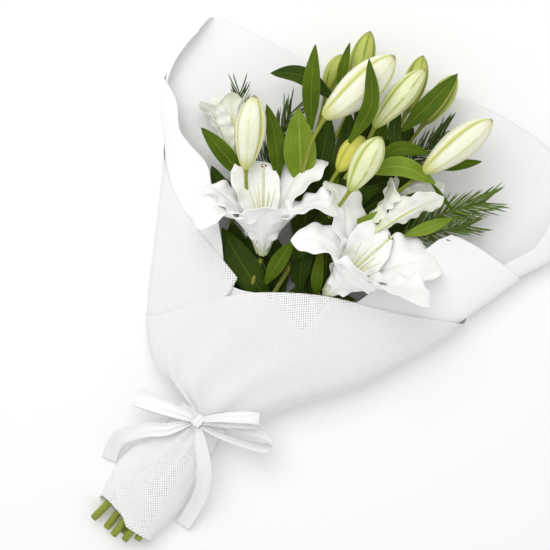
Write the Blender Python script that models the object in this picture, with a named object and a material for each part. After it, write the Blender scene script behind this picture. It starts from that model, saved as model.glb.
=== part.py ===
"""A hand-tied bunch of white lilies lying flat in its wrap of paper and open-weave burlap.

The flowers point along +Y, the cut stem ends point along -Y and +Z is up. The wrap's flat underside
lies in the plane z = 0, which is the surface the bunch rests on. Everything is in metres.
"""
import math

import bmesh
import bpy
import numpy as np
from mathutils import Vector

# Driving dimensions.
OVERALL_LENGTH = 0.641      # cut stem ends to the far edge of the back paper
PANEL_HEIGHT = 0.064        # crown of the front panel above the underside
SHEET_THICKNESS = 0.0009    # every wrapping sheet
SHEET_GAP = 0.0015          # air between one sheet and the next
STEM_DIAMETER = 0.0086
RIBBON_WIDTH = 0.017
RIBBON_THICKNESS = 0.0009
TEPAL_THICKNESS = 0.0013
TEPAL_WIDTH = 0.036
LEAF_THICKNESS = 0.0010
FLOWER_REACH = 0.070        # axis of an open flower to the tip of a tepal
FLOWER_DEPTH = 0.074        # foot of an open flower to its widest plane
TOUCH_GAP = 0.0004          # left between pieces that meet

SCALE = OVERALL_LENGTH / 0.641
SHEET_PITCH = SHEET_THICKNESS + SHEET_GAP

# Slots of the tied stems at the waist: three columns in two rows, with air between the stems.
COLUMN_GAP = 0.0026
ROW_GAP = 0.0022
SLOT_MIDDLE = 0.0147
SLOT_FLOOR = 0.0137         # lowest side of the lower row
SLOT_PITCH = STEM_DIAMETER + COLUMN_GAP
SLOT_LEFT = SLOT_MIDDLE - SLOT_PITCH
SLOT_LOW = SLOT_FLOOR + STEM_DIAMETER / 2
SLOT_HIGH = SLOT_LOW + STEM_DIAMETER + ROW_GAP

BASE_STEM = 0.0086          # the stem diameter that the cut ends' places are given for

# The waist fits round the tied stems, with room for the tie and the three sheets.
WAIST_MIDDLE = 0.014
SIDE_ROOM = 0.0145
CROWN_ROOM = 0.0109
WAIST_HALF = SLOT_PITCH + STEM_DIAMETER / 2 + SIDE_ROOM
WAIST_CROWN = SLOT_HIGH + STEM_DIAMETER / 2 + CROWN_ROOM
WAIST_LEFT = WAIST_MIDDLE - WAIST_HALF
WAIST_RIGHT = WAIST_MIDDLE + WAIST_HALF
END_ROOM = 4.6 * (STEM_DIAMETER - BASE_STEM)     # what the skirt gains when the stems' cut ends spread

BASE_PANEL = 0.064          # the panel height that the stations' crowns are given for
UPPER_LEVEL = PANEL_HEIGHT - 0.016      # feet of the two front flowers, under the panel's crown

# The wrap's cross-section at stations along the bunch: y, left edge, right edge, underside, crown.
STATIONS = (
    (-0.316, -0.030 - END_ROOM, 0.047 + END_ROOM, 0.000, 0.030 + END_ROOM / 2),
    (-0.270, -0.035 - END_ROOM / 2, 0.054 + END_ROOM / 2, 0.000, 0.036 + END_ROOM / 2),
    (-0.215, WAIST_LEFT - 0.008, WAIST_RIGHT + 0.006, 0.000, WAIST_CROWN - 0.004 + END_ROOM / 8),
    (-0.180, WAIST_LEFT, WAIST_RIGHT, 0.003, WAIST_CROWN - 0.001),
    (-0.163, WAIST_LEFT, WAIST_RIGHT, 0.003, WAIST_CROWN),
    (-0.150, -0.060, 0.058, 0.001, 0.050),
    (-0.132, -0.085, 0.070, 0.000, 0.055),
    (-0.100, -0.110, 0.091, 0.000, 0.059),
    (-0.042, -0.142, 0.136, 0.000, 0.063),
    (0.010, -0.170, 0.163, 0.000, 0.064),
    (0.053, -0.195, 0.183, 0.000, 0.063),
    (0.094, -0.230, 0.198, 0.000, 0.060),
    (0.130, -0.247, 0.211, 0.000, 0.056),
    (0.166, -0.250, 0.224, 0.000, 0.050),
    (0.205, -0.244, 0.242, 0.000, 0.044),
    (0.264, -0.236, 0.234, 0.000, 0.038),
    (0.306, -0.230, 0.230, 0.000, 0.034),
)
PANEL_START = ((-0.158, 0.0), (-0.100, 1.0))    # where the crown starts to follow the panel's height
FOLD_HEIGHT = 0.38          # height of the side folds, as a share of the crown's height
WAIST_Y = -0.171            # the middle of the ribbon band
BAND_HALF = 0.0065          # half the band's width along the bunch
ROW_STEP = 0.027            # between a sheet's rows above the splay
EDGE_STEP = 0.0015          # between the rows gathered at a slanted top edge
SPLAY_Y = -0.115            # above here the sheets' rows follow their slanted top edges


# ---- general helpers -------------------------------------------------------------------------------

def smooth(keys, x):
    """Read a curve that runs smoothly through (x, value) keys, held level past its two ends."""
    xs = [k[0] for k in keys]
    ys = [k[1] for k in keys]
    if x <= xs[0]:
        return ys[0]
    if x >= xs[-1]:
        return ys[-1]
    slopes = []
    for i in range(len(xs)):
        a = max(i - 1, 0)
        b = min(i + 1, len(xs) - 1)
        slopes.append((ys[b] - ys[a]) / (xs[b] - xs[a]))
    i = int(np.searchsorted(xs, x)) - 1
    span = xs[i + 1] - xs[i]
    t = (x - xs[i]) / span
    rise = 3 * t * t - 2 * t ** 3
    value = ys[i] * (1 - rise) + ys[i + 1] * rise
    value += span * slopes[i] * (t ** 3 - 2 * t * t + t)
    return value + span * slopes[i + 1] * (t ** 3 - t * t)


def along(points, count):
    """Evenly numbered points on a smooth curve through the given points."""
    last = len(points) - 1
    axes = [[(i, p[k]) for i, p in enumerate(points)] for k in range(3)]
    steps = [last * i / (count - 1) for i in range(count)]
    return [Vector([smooth(keys, s) for keys in axes]) for s in steps]


def place(x, y, z):
    """A point of the layout at the bunch's driving length."""
    return Vector((x, y, z)) * SCALE


def finish_material(name, colour, roughness):
    """The piece's own plain Principled material."""
    material = bpy.data.materials.new(name)
    material.use_nodes = True
    shader = material.node_tree.nodes["Principled BSDF"]
    shader.inputs["Base Color"].default_value = (*colour, 1.0)
    shader.inputs["Roughness"].default_value = roughness
    shader.inputs["Metallic"].default_value = 0.0
    return material


PETAL_WHITE = ((0.93, 0.93, 0.90), 0.55)
PISTIL_GREEN = ((0.62, 0.68, 0.36), 0.45)
BUD_CREAM = ((0.86, 0.88, 0.70), 0.50)
BUD_GREEN = ((0.60, 0.68, 0.38), 0.50)
LEAF_GREEN = ((0.10, 0.23, 0.06), 0.42)
NEEDLE_GREEN = ((0.12, 0.25, 0.08), 0.55)
STEM_GREEN = ((0.42, 0.52, 0.20), 0.50)
BURLAP_WHITE = ((0.90, 0.89, 0.86), 0.95)
PAPER_WHITE = ((0.93, 0.93, 0.93), 0.80)
RIBBON_WHITE = ((0.92, 0.92, 0.92), 0.30)
TWINE_TAN = ((0.55, 0.44, 0.28), 0.90)


def add_object(name, bm, look):
    """Turn a bmesh into the named object of one sub-part, shaded smooth."""
    mesh = bpy.data.meshes.new(name)
    bm.to_mesh(mesh)
    bm.free()
    mesh.shade_smooth()
    mesh.materials.append(finish_material(name, *look))
    obj = bpy.data.objects.new(name, mesh)
    bpy.context.collection.objects.link(obj)
    return obj


def grid(rows, closed=False):
    """A bmesh of quads through rows of points; closed joins each row's end to its start."""
    bm = bmesh.new()
    verts = [[bm.verts.new(p) for p in row] for row in rows]
    width = len(rows[0])
    for a, b in zip(verts, verts[1:]):
        for j in range(width if closed else width - 1):
            k = (j + 1) % width
            bm.faces.new((a[j], a[k], b[k], b[j]))
    return bm


def add_skin(name, rows, thickness, look, closed=False):
    """A thin piece: the grid of points is its middle surface and Solidify gives it its thickness."""
    obj = add_object(name, grid(rows, closed), look)
    solidify = obj.modifiers.new("thickness", "SOLIDIFY")
    solidify.thickness = thickness
    solidify.offset = 0.0
    return obj


def add_loft(name, rings, look):
    """A solid through closed rings of points, with a flat face at each end."""
    bm = grid(rings, closed=True)
    bm.verts.ensure_lookup_table()
    size = len(rings[0])
    bm.faces.new([bm.verts[i] for i in range(size)])
    bm.faces.new([bm.verts[i] for i in range(len(rings) * size - size, len(rings) * size)])
    bmesh.ops.recalc_face_normals(bm, faces=bm.faces)
    return add_object(name, bm, look)


def side_and_lift(direction):
    """The level direction across a path, and the direction square to both."""
    across = direction.cross(Vector((0, 0, 1))).normalized()
    return across, across.cross(direction).normalized()


def ring(centre, direction, radius, sides, lobes=0.0):
    """A ring of points round a path, with three shallow lobes where lobes is not zero."""
    across, lift = side_and_lift(direction)
    points = []
    for i in range(sides):
        angle = math.tau * i / sides
        r = radius * (1 + lobes * math.cos(3 * angle + math.pi / 2))
        points.append(centre + across * (r * math.cos(angle)) + lift * (r * math.sin(angle)))
    return points


def headings(points):
    """The direction of travel at each point of a path."""
    last = len(points) - 1
    return [(points[min(i + 1, last)] - points[max(i - 1, 0)]).normalized() for i in range(last + 1)]


# ---- wrap ------------------------------------------------------------------------------------------

TIED_ROWS = (-0.290, -0.262, -0.234, -0.207, -0.187, WAIST_Y - BAND_HALF, WAIST_Y, WAIST_Y + BAND_HALF,
             -0.158, -0.151, -0.143, -0.131, SPLAY_Y)


def section(y):
    """Left edge, right edge, underside and crown of the wrap's section at y."""
    left, right, under, crown = [smooth([(s[0], s[k]) for s in STATIONS], y) for k in range(1, 5)]
    share = smooth(PANEL_START, y)
    return left, right, max(under, 0.0), crown * (1 + (PANEL_HEIGHT / BASE_PANEL - 1) * share)


def wrap_point(angle, y, depth):
    """A point of the sheet that lies depth inside the wrap's outer skin.

    The angle runs round the section: 0 is the right fold, 90 the crown, 180 the left fold and 270 the
    underside, in degrees.
    """
    left, right, under, crown = section(y)
    turn = math.radians(angle)
    half = (right - left) / 2 - depth
    low = under + depth
    high = crown - depth
    fold = low + (high - low) * FOLD_HEIGHT
    rise = math.sin(turn)
    x = (left + right) / 2 + half * math.cos(turn)
    if rise >= 0:
        z = fold + (high - fold) * rise ** 0.8
    else:
        sink = min(1.0, -rise / 0.20)
        z = fold - (fold - low) * math.sin(sink * math.pi / 2)
    return place(x, y, z)


def section_angles(first, last):
    """Angles for a sheet's points, close together round the folds and at the edges of the underside."""
    marks = []
    for turn in range(-1, 3):
        for mark in (0, 10, 26, 50, 75, 105, 130, 154, 170, 180, 187, 194, 235, 270, 305, 346, 353):
            marks.append(turn * 360 + mark)
    inner = [m for m in sorted(set(marks)) if first + 2 < m < last - 2]
    return [first, *inner, last]


def meet_edge(angle, edge, depth):
    """The y at which the sheet's line at this angle meets a top edge given as y over x."""
    low, high = SPLAY_Y, 0.30
    for _ in range(40):
        middle = (low + high) / 2
        x = wrap_point(angle, middle, depth).x / SCALE
        if middle < smooth(edge, x):
            low = middle
        else:
            high = middle
    return low


def add_sheet(name, first, last, bottom, top_at, depth_at, look):
    """A wrapping sheet from one free edge to the other, between its two faces' depths."""
    angles = section_angles(first, last)
    tops = [top_at(a) for a in angles]
    count = math.ceil((max(tops) - SPLAY_Y) / ROW_STEP)
    outer, inner = [], []
    for rows, face in ((outer, 0.0), (inner, SHEET_THICKNESS)):
        for y in (bottom, *[level for level in TIED_ROWS if level > bottom + 0.004]):
            rows.append([wrap_point(a, y, depth_at(a) + face) for a in angles])
        for i in range(1, count + 1):
            level = SPLAY_Y + ROW_STEP * i
            ys = [min(level, top - EDGE_STEP * (count - i)) if i < count else top for top in tops]
            rows.append([wrap_point(a, y, depth_at(a) + face) for a, y in zip(angles, ys)])
    bm = bmesh.new()
    skins = [[[bm.verts.new(p) for p in row] for row in rows] for rows in (outer, inner)]
    for a, b in zip(skins[0], skins[0][1:]):
        for j in range(len(angles) - 1):
            bm.faces.new((a[j], b[j], b[j + 1], a[j + 1]))
    for a, b in zip(skins[1], skins[1][1:]):
        for j in range(len(angles) - 1):
            bm.faces.new((a[j], a[j + 1], b[j + 1], b[j]))
    for end in (0, -1):
        for j in range(len(angles) - 1):
            bm.faces.new((skins[0][end][j], skins[0][end][j + 1], skins[1][end][j + 1], skins[1][end][j]))
        for i in range(len(outer) - 1):
            bm.faces.new((skins[0][i][end], skins[0][i + 1][end], skins[1][i + 1][end], skins[1][i][end]))
    bmesh.ops.recalc_face_normals(bm, faces=bm.faces)
    return add_object(name, bm, look)


def add_burlap():
    """The outer mesh: its left edge lies inside, and its right side folds over and covers it."""
    left_panel = ((-0.195, 0.055), (-0.180, 0.040), (-0.153, 0.020), (-0.116, 0.005), (-0.066, -0.009),
                  (-0.021, -0.022))
    front = ((-0.110, -0.108), (-0.093, -0.103), (-0.057, -0.058), (-0.019, -0.020), (0.045, 0.021),
             (0.118, 0.050), (0.154, 0.066), (0.199, 0.088))
    underside = ((180, 0.055), (225, 0.110), (270, 0.150), (315, 0.130), (360, 0.088))

    def depth_at(angle):
        return smooth(((185, SHEET_PITCH), (240, 0.0)), angle)

    def top_at(angle):
        if angle <= 180:
            return meet_edge(angle, left_panel, depth_at(angle))
        if angle < 360:
            return smooth(underside, angle)
        return meet_edge(angle, front, depth_at(angle))

    add_sheet("burlap_wrap", 105, 360 + 170, -0.316, top_at, depth_at, BURLAP_WHITE)


def add_inner_paper():
    """The smooth sheet inside the burlap, rolled over the front on both sides."""
    left_roll = ((-0.245, 0.122), (-0.211, 0.106), (-0.191, 0.083), (-0.172, 0.075), (-0.141, 0.067),
                 (-0.126, 0.053), (-0.082, 0.010), (-0.040, -0.040))
    right_flap = ((0.050, -0.040), (0.074, 0.018), (0.094, 0.075), (0.112, 0.135), (0.122, 0.158),
                  (0.198, 0.166), (0.222, 0.164))
    underside = ((180, 0.122), (225, 0.180), (270, 0.220), (315, 0.200), (360, 0.164))

    def depth_at(angle):
        return 2 * SHEET_PITCH

    def top_at(angle):
        if angle <= 180:
            return meet_edge(angle, left_roll, depth_at(angle))
        if angle < 360:
            return smooth(underside, angle)
        return meet_edge(angle, right_flap, depth_at(angle))

    add_sheet("inner_paper_sheet", 105, 360 + 75, -0.205, top_at, depth_at, PAPER_WHITE)


def add_back_paper():
    """The sheet under the flowers, standing at the left and turned over at its right corner."""
    edge = ((172, 0.186), (180, 0.205), (246, 0.237), (283, 0.296), (314, 0.306), (345, 0.280),
            (360, 0.264), (400, 0.256))

    def depth_at(angle):
        return 3 * SHEET_PITCH

    def top_at(angle):
        return smooth(edge, angle)

    add_sheet("back_paper_sheet", 170, 360 + 26, -0.205, top_at, depth_at, PAPER_WHITE)


# ---- ribbon ----------------------------------------------------------------------------------------

def add_band():
    """The ribbon's turn round the waist, just clear of the burlap."""
    clear = -(TOUCH_GAP * 2 + RIBBON_THICKNESS / 2)
    angles = section_angles(0, 353)
    levels = (WAIST_Y - BAND_HALF, WAIST_Y, WAIST_Y + BAND_HALF)
    rows = [[wrap_point(a, y, clear) for a in angles] for y in levels]
    add_skin("ribbon_band", rows, RIBBON_THICKNESS, RIBBON_WHITE, closed=True)


KNOT = (0.013, -0.170, WAIST_CROWN + 0.0075)


def add_knot():
    """The bow's knot: a small crossing turn of ribbon, modelled as a rounded block."""
    bm = bmesh.new()
    bmesh.ops.create_cube(bm, size=1.0)
    bmesh.ops.scale(bm, vec=Vector((0.017, 0.019, 0.011)) * SCALE, verts=bm.verts)
    bmesh.ops.bevel(bm, geom=bm.edges[:], offset=0.0035 * SCALE, segments=2, affect="EDGES", profile=0.6)
    bmesh.ops.translate(bm, vec=place(*KNOT), verts=bm.verts)
    add_object("ribbon_knot", bm, RIBBON_WHITE)


def ribbon_rows(centre_line, half_width, count, side=None):
    """Three points across a ribbon at each of count places on its centre line."""
    points = [place(*p) for p in centre_line]
    points = along(points, count)
    rows = []
    for point, direction in zip(points, headings(points)):
        across = side or side_and_lift(direction)[0]
        rows.append([point - across * half_width, point, point + across * half_width])
    return rows


def add_loop(name, start, end, rise, width):
    """A bow loop: out from the knot, round its end and back underneath to the knot."""
    out = Vector(end) - Vector(start)
    flat = Vector((out.x, out.y, 0))
    side = flat.cross(Vector((0, 0, 1))).normalized()
    half = rise / 2
    profile = ((0.0, 0.55), (0.25, 0.9), (0.55, 1.0), (0.85, 0.9), (1.0, 0.0), (0.85, -0.9),
               (0.55, -0.85), (0.25, -0.6), (0.0, -0.35))
    line = [Vector(start) + out * t + Vector((0, 0, half * h)) for t, h in profile]
    rows = ribbon_rows(line, width / 2, 25, side)
    add_skin(name, rows, RIBBON_THICKNESS, RIBBON_WHITE)


def add_ribbon():
    """Band, knot, three bow loops and two tails."""
    add_band()
    add_knot()
    x, y, z = KNOT
    add_loop("ribbon_loop_left", (x - 0.0106, y - 0.003, z), (-0.060, -0.193, 0.040), 0.013, RIBBON_WIDTH)
    add_loop("ribbon_loop_upper_right", (x + 0.0104, y + 0.007, z + 0.004), (0.066, -0.134, 0.066), 0.012,
             RIBBON_WIDTH * 0.62)
    add_loop("ribbon_loop_lower_right", (x + 0.0116, y - 0.006, z), (0.096, -0.150, 0.041), 0.018,
             RIBBON_WIDTH * 0.80)
    left_tail = ((x - 0.007, y - 0.0185, z - 0.006), (-0.010, -0.200, WAIST_CROWN),
                 (-0.030, -0.214, 0.040), (-0.046, -0.236, 0.024), (-0.048, -0.254, 0.010),
                 (-0.044, -0.270, 0.0035))
    right_tail = ((x + 0.006, y - 0.0125, z - 0.002), (0.030, -0.190, WAIST_CROWN + 0.006),
                  (0.050, -0.212, 0.045), (0.062, -0.236, 0.033), (0.066 + END_ROOM / 4, -0.262, 0.016),
                  (0.067 + END_ROOM / 2, -0.284, 0.004))
    for name, line in (("ribbon_tail_left", left_tail), ("ribbon_tail_right", right_tail)):
        add_skin(name, ribbon_rows(line, RIBBON_WIDTH / 2, 14), RIBBON_THICKNESS, RIBBON_WHITE)


# ---- stems -----------------------------------------------------------------------------------------

def slot(column, row):
    """Where a stem passes the waist: three columns in two rows."""
    return SLOT_LEFT + SLOT_PITCH * column, SLOT_HIGH if row else SLOT_LOW


def add_stem(number, cut_end, column, row, way, head):
    """A stem from its cut end, through its slot in the tie, to the foot of what it carries."""
    x, z = slot(column, row)
    spread = STEM_DIAMETER / BASE_STEM
    end_x, end_z = SLOT_MIDDLE + (cut_end[0] - SLOT_MIDDLE) * spread, cut_end[2] * spread
    points = [(end_x, cut_end[1], end_z), (end_x * 0.55 + x * 0.45, -0.270, (end_z + z) / 2),
              (x, -0.205, z), (x, -0.172, z), (x, -0.138, z), *way, head]
    radius = STEM_DIAMETER / 2
    path = along([place(*p) for p in points], 19)
    curve = bpy.data.curves.new(f"lily_stem_{number}", "CURVE")
    curve.dimensions = "3D"
    curve.bevel_depth = radius
    curve.bevel_resolution = 2
    curve.use_fill_caps = True
    spline = curve.splines.new("POLY")
    spline.points.add(len(path) - 1)
    for point, at in zip(spline.points, path):
        point.co = (*at, 1.0)
    curve.materials.append(finish_material(f"lily_stem_{number}", *STEM_GREEN))
    obj = bpy.data.objects.new(f"lily_stem_{number}", curve)
    bpy.context.collection.objects.link(obj)


def add_stems():
    """Six stems: cut end, column and row in the tie, points on the way, and the head's foot."""
    foot_a, foot_b = UPPER_LEVEL - 0.004, UPPER_LEVEL - 0.0055      # under the two front flowers
    plan = (
        ((-0.0204, -0.3328, 0.0120), 0, 1, ((-0.008, -0.080, 0.036),), (-0.0330, 0.0160, foot_a)),
        ((-0.0022, -0.3339, 0.0100), 0, 0, ((-0.024, -0.080, 0.020),), (-0.1020, 0.0640, 0.0190)),
        ((0.0088, -0.3346, 0.0170), 1, 1, ((0.006, -0.080, 0.030),), (-0.0060, 0.0900, 0.0330)),
        ((0.0156, -0.3285, 0.0062), 1, 0, ((0.016, -0.080, 0.019),), (0.0300, 0.1050, 0.0180)),
        ((0.0223, -0.3321, 0.0170), 2, 1, ((0.034, -0.080, 0.036),), (0.0490, 0.0180, foot_b)),
        ((0.0340, -0.3235, 0.0150), 2, 0, ((0.040, -0.080, 0.022),), (0.0650, 0.0900, 0.0240)),
    )
    for number, row in enumerate(plan, 1):
        add_stem(number, *row)


def add_tie():
    """The twine that holds the stems together, hidden inside the wrap above the ribbon."""
    radius = STEM_DIAMETER / 2 + TOUCH_GAP + 0.0009
    left, right = SLOT_LEFT, SLOT_LEFT + 2 * SLOT_PITCH
    corners = ((right, SLOT_HIGH, 0), (left, SLOT_HIGH, 90), (left, SLOT_LOW, 180), (right, SLOT_LOW, 270))
    outline = []
    for x, z, start in corners:
        for step in range(5):
            turn = math.radians(start + 22.5 * step)
            outline.append((x + radius * math.cos(turn), z + radius * math.sin(turn)))
    rows = [[place(x, y, z) for x, z in outline] for y in (-0.152, -0.149, -0.146)]
    add_skin("stem_tie", rows, 0.0012, TWINE_TAN, closed=True)


# ---- flowers ---------------------------------------------------------------------------------------

PROFILE_RADIUS = ((0.00, 0.055), (0.15, 0.10), (0.35, 0.19), (0.52, 0.36), (0.70, 0.66), (0.86, 0.92),
                  (1.00, 1.00))
PROFILE_HEIGHT = ((0.00, 0.00), (0.15, 0.24), (0.35, 0.56), (0.52, 0.80), (0.70, 0.97), (0.86, 1.00),
                  (1.00, 0.88))


def flower_frame(foot, heading, pitch):
    """Foot, axis, the direction to the upper side and the direction to the right of a flower."""
    turn, rise = math.radians(heading), math.radians(pitch)
    axis = Vector((-math.sin(turn) * math.cos(rise), math.cos(turn) * math.cos(rise), math.sin(rise)))
    upper = (Vector((0, 0, 1)) - axis * axis.z).normalized()
    return place(*foot), axis, upper, axis.cross(upper)


def tepal_width(s):
    """Share of a tepal's full width at s along it: narrow foot, broad middle, pointed tip."""
    return smooth(((0.0, 0.16), (0.2, 0.42), (0.45, 0.86), (0.62, 1.0), (0.80, 0.84), (0.93, 0.42),
                   (1.0, 0.07)), s)


def add_tepal(name, frame, azimuth, outer, reach, droop, size):
    """One tepal, a strip of the flower's bell shape that opens and curls back at its tip.

    The azimuth is zero on the flower's upper side and grows to its right, in degrees. An outer tepal
    lies one gap further out than an inner one.
    """
    foot, axis, upper, right = frame
    lengths = 7
    apart = (TEPAL_THICKNESS + 0.0026) * outer
    rows = []
    for i in range(lengths + 1):
        s = i / lengths
        radius = smooth(PROFILE_RADIUS, s) * FLOWER_REACH * size * (1 + (reach - 1) * s * s) * SCALE
        height = (smooth(PROFILE_HEIGHT, s) * FLOWER_DEPTH * size - droop * s ** 4) * SCALE
        radius += apart * (1 - 0.6 * s)
        height -= apart * min(1.0, s * 1.5)
        half = TEPAL_WIDTH / 2 * tepal_width(s) * SCALE * size * (0.94 if outer else 1.06)
        flat = min(0.85, s * 1.1)
        row = []
        for t in (-1.0, -0.5, 0.0, 0.5, 1.0):
            spread = half / max(radius, half) * t
            out = radius * (math.cos(spread) * (1 - flat) + flat) + half * 0.10 * s * t * t
            over = radius * math.sin(spread) * (1 - flat) + half * t * flat
            turn = math.radians(azimuth)
            x = out * math.cos(turn) - over * math.sin(turn)
            y = out * math.sin(turn) + over * math.cos(turn)
            lip = half * 0.22 * math.sin(math.pi * s) * t * t
            row.append(foot + upper * x + right * y + axis * (height + lip))
        rows.append(row)
    add_skin(name, rows, TEPAL_THICKNESS, PETAL_WHITE)


def extrude_run(bm, face, steps):
    """Extrude a face once for each (movement, scale) and return the last face."""
    for move, scale in steps:
        made = bmesh.ops.extrude_discrete_faces(bm, faces=[face])
        face = made["faces"][0]
        bmesh.ops.translate(bm, vec=move, verts=face.verts)
        centre = face.calc_center_median()
        for vert in face.verts:
            vert.co = centre + (vert.co - centre) * scale
    return face


def add_pistil(name, frame, size):
    """Style with its three-lobed stigma, and six bare filaments, growing from one short foot."""
    foot, axis, upper, right = frame
    length = FLOWER_DEPTH * size * SCALE
    bm = bmesh.new()
    radius = 0.0022 * SCALE
    base = [foot + axis * (length * 0.16) + (upper * math.cos(a) + right * math.sin(a)) * radius
            for a in [math.tau * i / 6 for i in range(6)]]
    face = bm.faces.new([bm.verts.new(p) for p in base])
    shaft = bmesh.ops.extrude_face_region(bm, geom=[face])
    top = [g for g in shaft["geom"] if isinstance(g, bmesh.types.BMFace)][0]
    bmesh.ops.translate(bm, vec=axis * (length * 0.10), verts=top.verts)
    sides = [f for f in bm.faces if len(f.verts) == 4]
    extrude_run(bm, top, ((axis * length * 0.40, 0.75), (axis * length * 0.42 + upper * 0.002, 0.9),
                          (axis * length * 0.24 + upper * 0.004, 1.0), (axis * 0.003, 2.0),
                          (axis * 0.003, 0.9)))
    for side in sides:
        out = side.calc_center_median() - foot
        out = (out - axis * out.dot(axis)).normalized()
        extrude_run(bm, side, ((out * 0.0012 * SCALE + axis * 0.001, 0.42),
                               (out * length * 0.10 + axis * length * 0.40, 0.9),
                               (out * length * 0.16 + axis * length * 0.34, 0.9)))
    bmesh.ops.recalc_face_normals(bm, faces=bm.faces)
    add_object(name, bm, PISTIL_GREEN)


def add_flower(letter, foot, heading, pitch, size, tepals, pistil=True):
    """An open lily: six tepals, each (azimuth, outer, reach, droop), and its pistil."""
    frame = flower_frame(foot, heading, pitch)
    for number, (azimuth, outer, reach, droop) in enumerate(tepals, 1):
        add_tepal(f"flower_{letter}_tepal_{number}", frame, azimuth, outer, reach, droop, size)
    if pistil:
        add_pistil(f"flower_{letter}_pistil", frame, size)


def add_flowers():
    """Three open flowers."""
    add_flower("a", (-0.0345, 0.0210, UPPER_LEVEL), 34, 36, 1.0, (
        (4, 1, 0.86, 0.018), (64, 0, 0.93, 0.019), (122, 1, 1.08, 0.000), (182, 0, 0.9, 0.008),
        (240, 1, 0.86, 0.010), (298, 0, 1.05, 0.008)))
    add_flower("b", (0.0500, 0.0250, UPPER_LEVEL - 0.0015), -12, 40, 1.0, (
        (0, 1, 0.80, 0.018), (60, 0, 1.0, 0.014), (118, 1, 1.0, 0.012), (180, 0, 0.8, 0.004),
        (240, 1, 0.95, 0.008), (300, 0, 0.85, 0.032)))
    add_flower("c", (0.0620, 0.1160, 0.0240), -22, 14, 0.92, (
        (30, 1, 0.50, -0.010), (90, 0, 0.62, -0.012), (330, 0, 0.42, -0.008), (270, 1, 0.60, -0.006)), False)


def bud_radius(s):
    """Share of a bud's full radius at s along it, from its neck to its blunt tip."""
    return smooth(((0.0, 0.22), (0.06, 0.50), (0.20, 0.80), (0.45, 1.0), (0.70, 0.96), (0.88, 0.70),
                   (0.97, 0.34), (1.0, 0.14)), s)


def add_bud(name, neck, tip, width, stalk, look):
    """A closed bud with three shallow grooves, on its own short curved stalk."""
    bend = Vector(stalk) * 0.5 + Vector(neck) * 0.5 + (Vector(neck) - Vector(tip)) * 0.08
    path = along([place(*stalk), place(*bend), place(*neck)], 5)[:-1]
    body = 8
    start, end = place(*neck), place(*tip)
    centres = path + [start.lerp(end, i / body) for i in range(body + 1)]
    radii = [0.0022 * SCALE] * len(path) + [width / 2 * SCALE * bud_radius(i / body) for i in range(body + 1)]
    grooves = [0.0] * len(path) + [0.05 * math.sin(math.pi * i / body) for i in range(body + 1)]
    rings = [ring(c, d, r, 9, g) for c, d, r, g in zip(centres, headings(centres), radii, grooves)]
    add_loft(name, rings, look)


def add_trumpet():
    """The half-open lily at the left: a closed tube whose mouth has begun to flare."""
    start, end = place(-0.104, 0.073, 0.024), place(-0.166, 0.141, 0.036)
    outer = ((0.0, 0.16), (0.12, 0.26), (0.45, 0.55), (0.75, 0.85), (1.0, 1.10))
    steps = 7
    direction = (end - start).normalized()
    full = 0.0175 * SCALE
    wall = 0.0018 * SCALE
    rings = [ring(start.lerp(end, i / steps), direction, full * smooth(outer, i / steps), 12, 0.05)
             for i in range(steps + 1)]
    for i in range(steps, 1, -1):
        rings.append(ring(start.lerp(end, i / steps), direction, full * smooth(outer, i / steps) - wall,
                          12, 0.05))
    add_loft("half_open_lily", rings, PETAL_WHITE)


def add_buds():
    """Ten closed buds: neck, tip, width and the lower end of the stalk."""
    plan = (
        ("bud_left", (-0.1020, 0.0860, 0.0720), (-0.1380, 0.1550, 0.0940), 0.031, (-0.091, 0.075, 0.068), 0),
        ("bud_wide", (-0.0640, 0.1790, 0.0860), (-0.0390, 0.2730, 0.1060), 0.039, (-0.060, 0.158, 0.078), 0),
        ("bud_top_1", (-0.0540, 0.2190, 0.0420), (-0.0780, 0.2900, 0.0520), 0.025, (-0.044, 0.196, 0.037), 1),
        ("bud_top_2", (-0.0800, 0.2080, 0.0280), (-0.0900, 0.2540, 0.0340), 0.021, (-0.071, 0.190, 0.026), 1),
        ("bud_green", (-0.0140, 0.2016, 0.0840), (-0.0050, 0.2826, 0.0920), 0.025, (-0.010, 0.182, 0.078), 1),
        ("bud_top_3", (0.0060, 0.2400, 0.0440), (-0.0150, 0.3010, 0.0540), 0.023, (0.010, 0.220, 0.040), 1),
        ("bud_top_4", (0.0290, 0.2420, 0.0420), (0.0270, 0.3050, 0.0500), 0.024, (0.028, 0.220, 0.036), 1),
        ("bud_yellow", (-0.0190, 0.1430, 0.0600), (-0.0170, 0.1890, 0.0700), 0.022, (-0.018, 0.128, 0.056), 1),
        ("bud_middle", (0.0040, 0.1380, 0.0940), (-0.0020, 0.1980, 0.1120), 0.026, (0.004, 0.122, 0.086), 0),
        ("bud_right", (0.0580, 0.1930, 0.0760), (0.0860, 0.2810, 0.0840), 0.032, (0.050, 0.172, 0.070), 0),
    )
    for name, neck, tip, width, stalk, green in plan:
        add_bud(name, neck, tip, width, stalk, BUD_GREEN if green else BUD_CREAM)


# ---- leaves ----------------------------------------------------------------------------------------

def leaf_width(s):
    """Share of a leaf's full width at s along it."""
    return smooth(((0.0, 0.22), (0.25, 0.80), (0.50, 1.0), (0.75, 0.78), (0.92, 0.36), (1.0, 0.06)), s)


def add_leaf(name, base, middle, tip, width, tilt):
    """A lance-shaped leaf through three points, folded a little along its midrib."""
    points = along([place(*base), place(*middle), place(*tip)], 8)
    rows = []
    for i, (point, direction) in enumerate(zip(points, headings(points))):
        across, lift = side_and_lift(direction)
        half = width / 2 * SCALE * leaf_width(i / 7)
        lean = math.radians(tilt)
        across = across * math.cos(lean) + lift * math.sin(lean)
        lift = across.cross(direction)
        rows.append([point + across * (half * t) + lift * (half * 0.25 * abs(t))
                     for t in (-1, -0.5, 0, 0.5, 1)])
    add_skin(name, rows, LEAF_THICKNESS, LEAF_GREEN)


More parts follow.
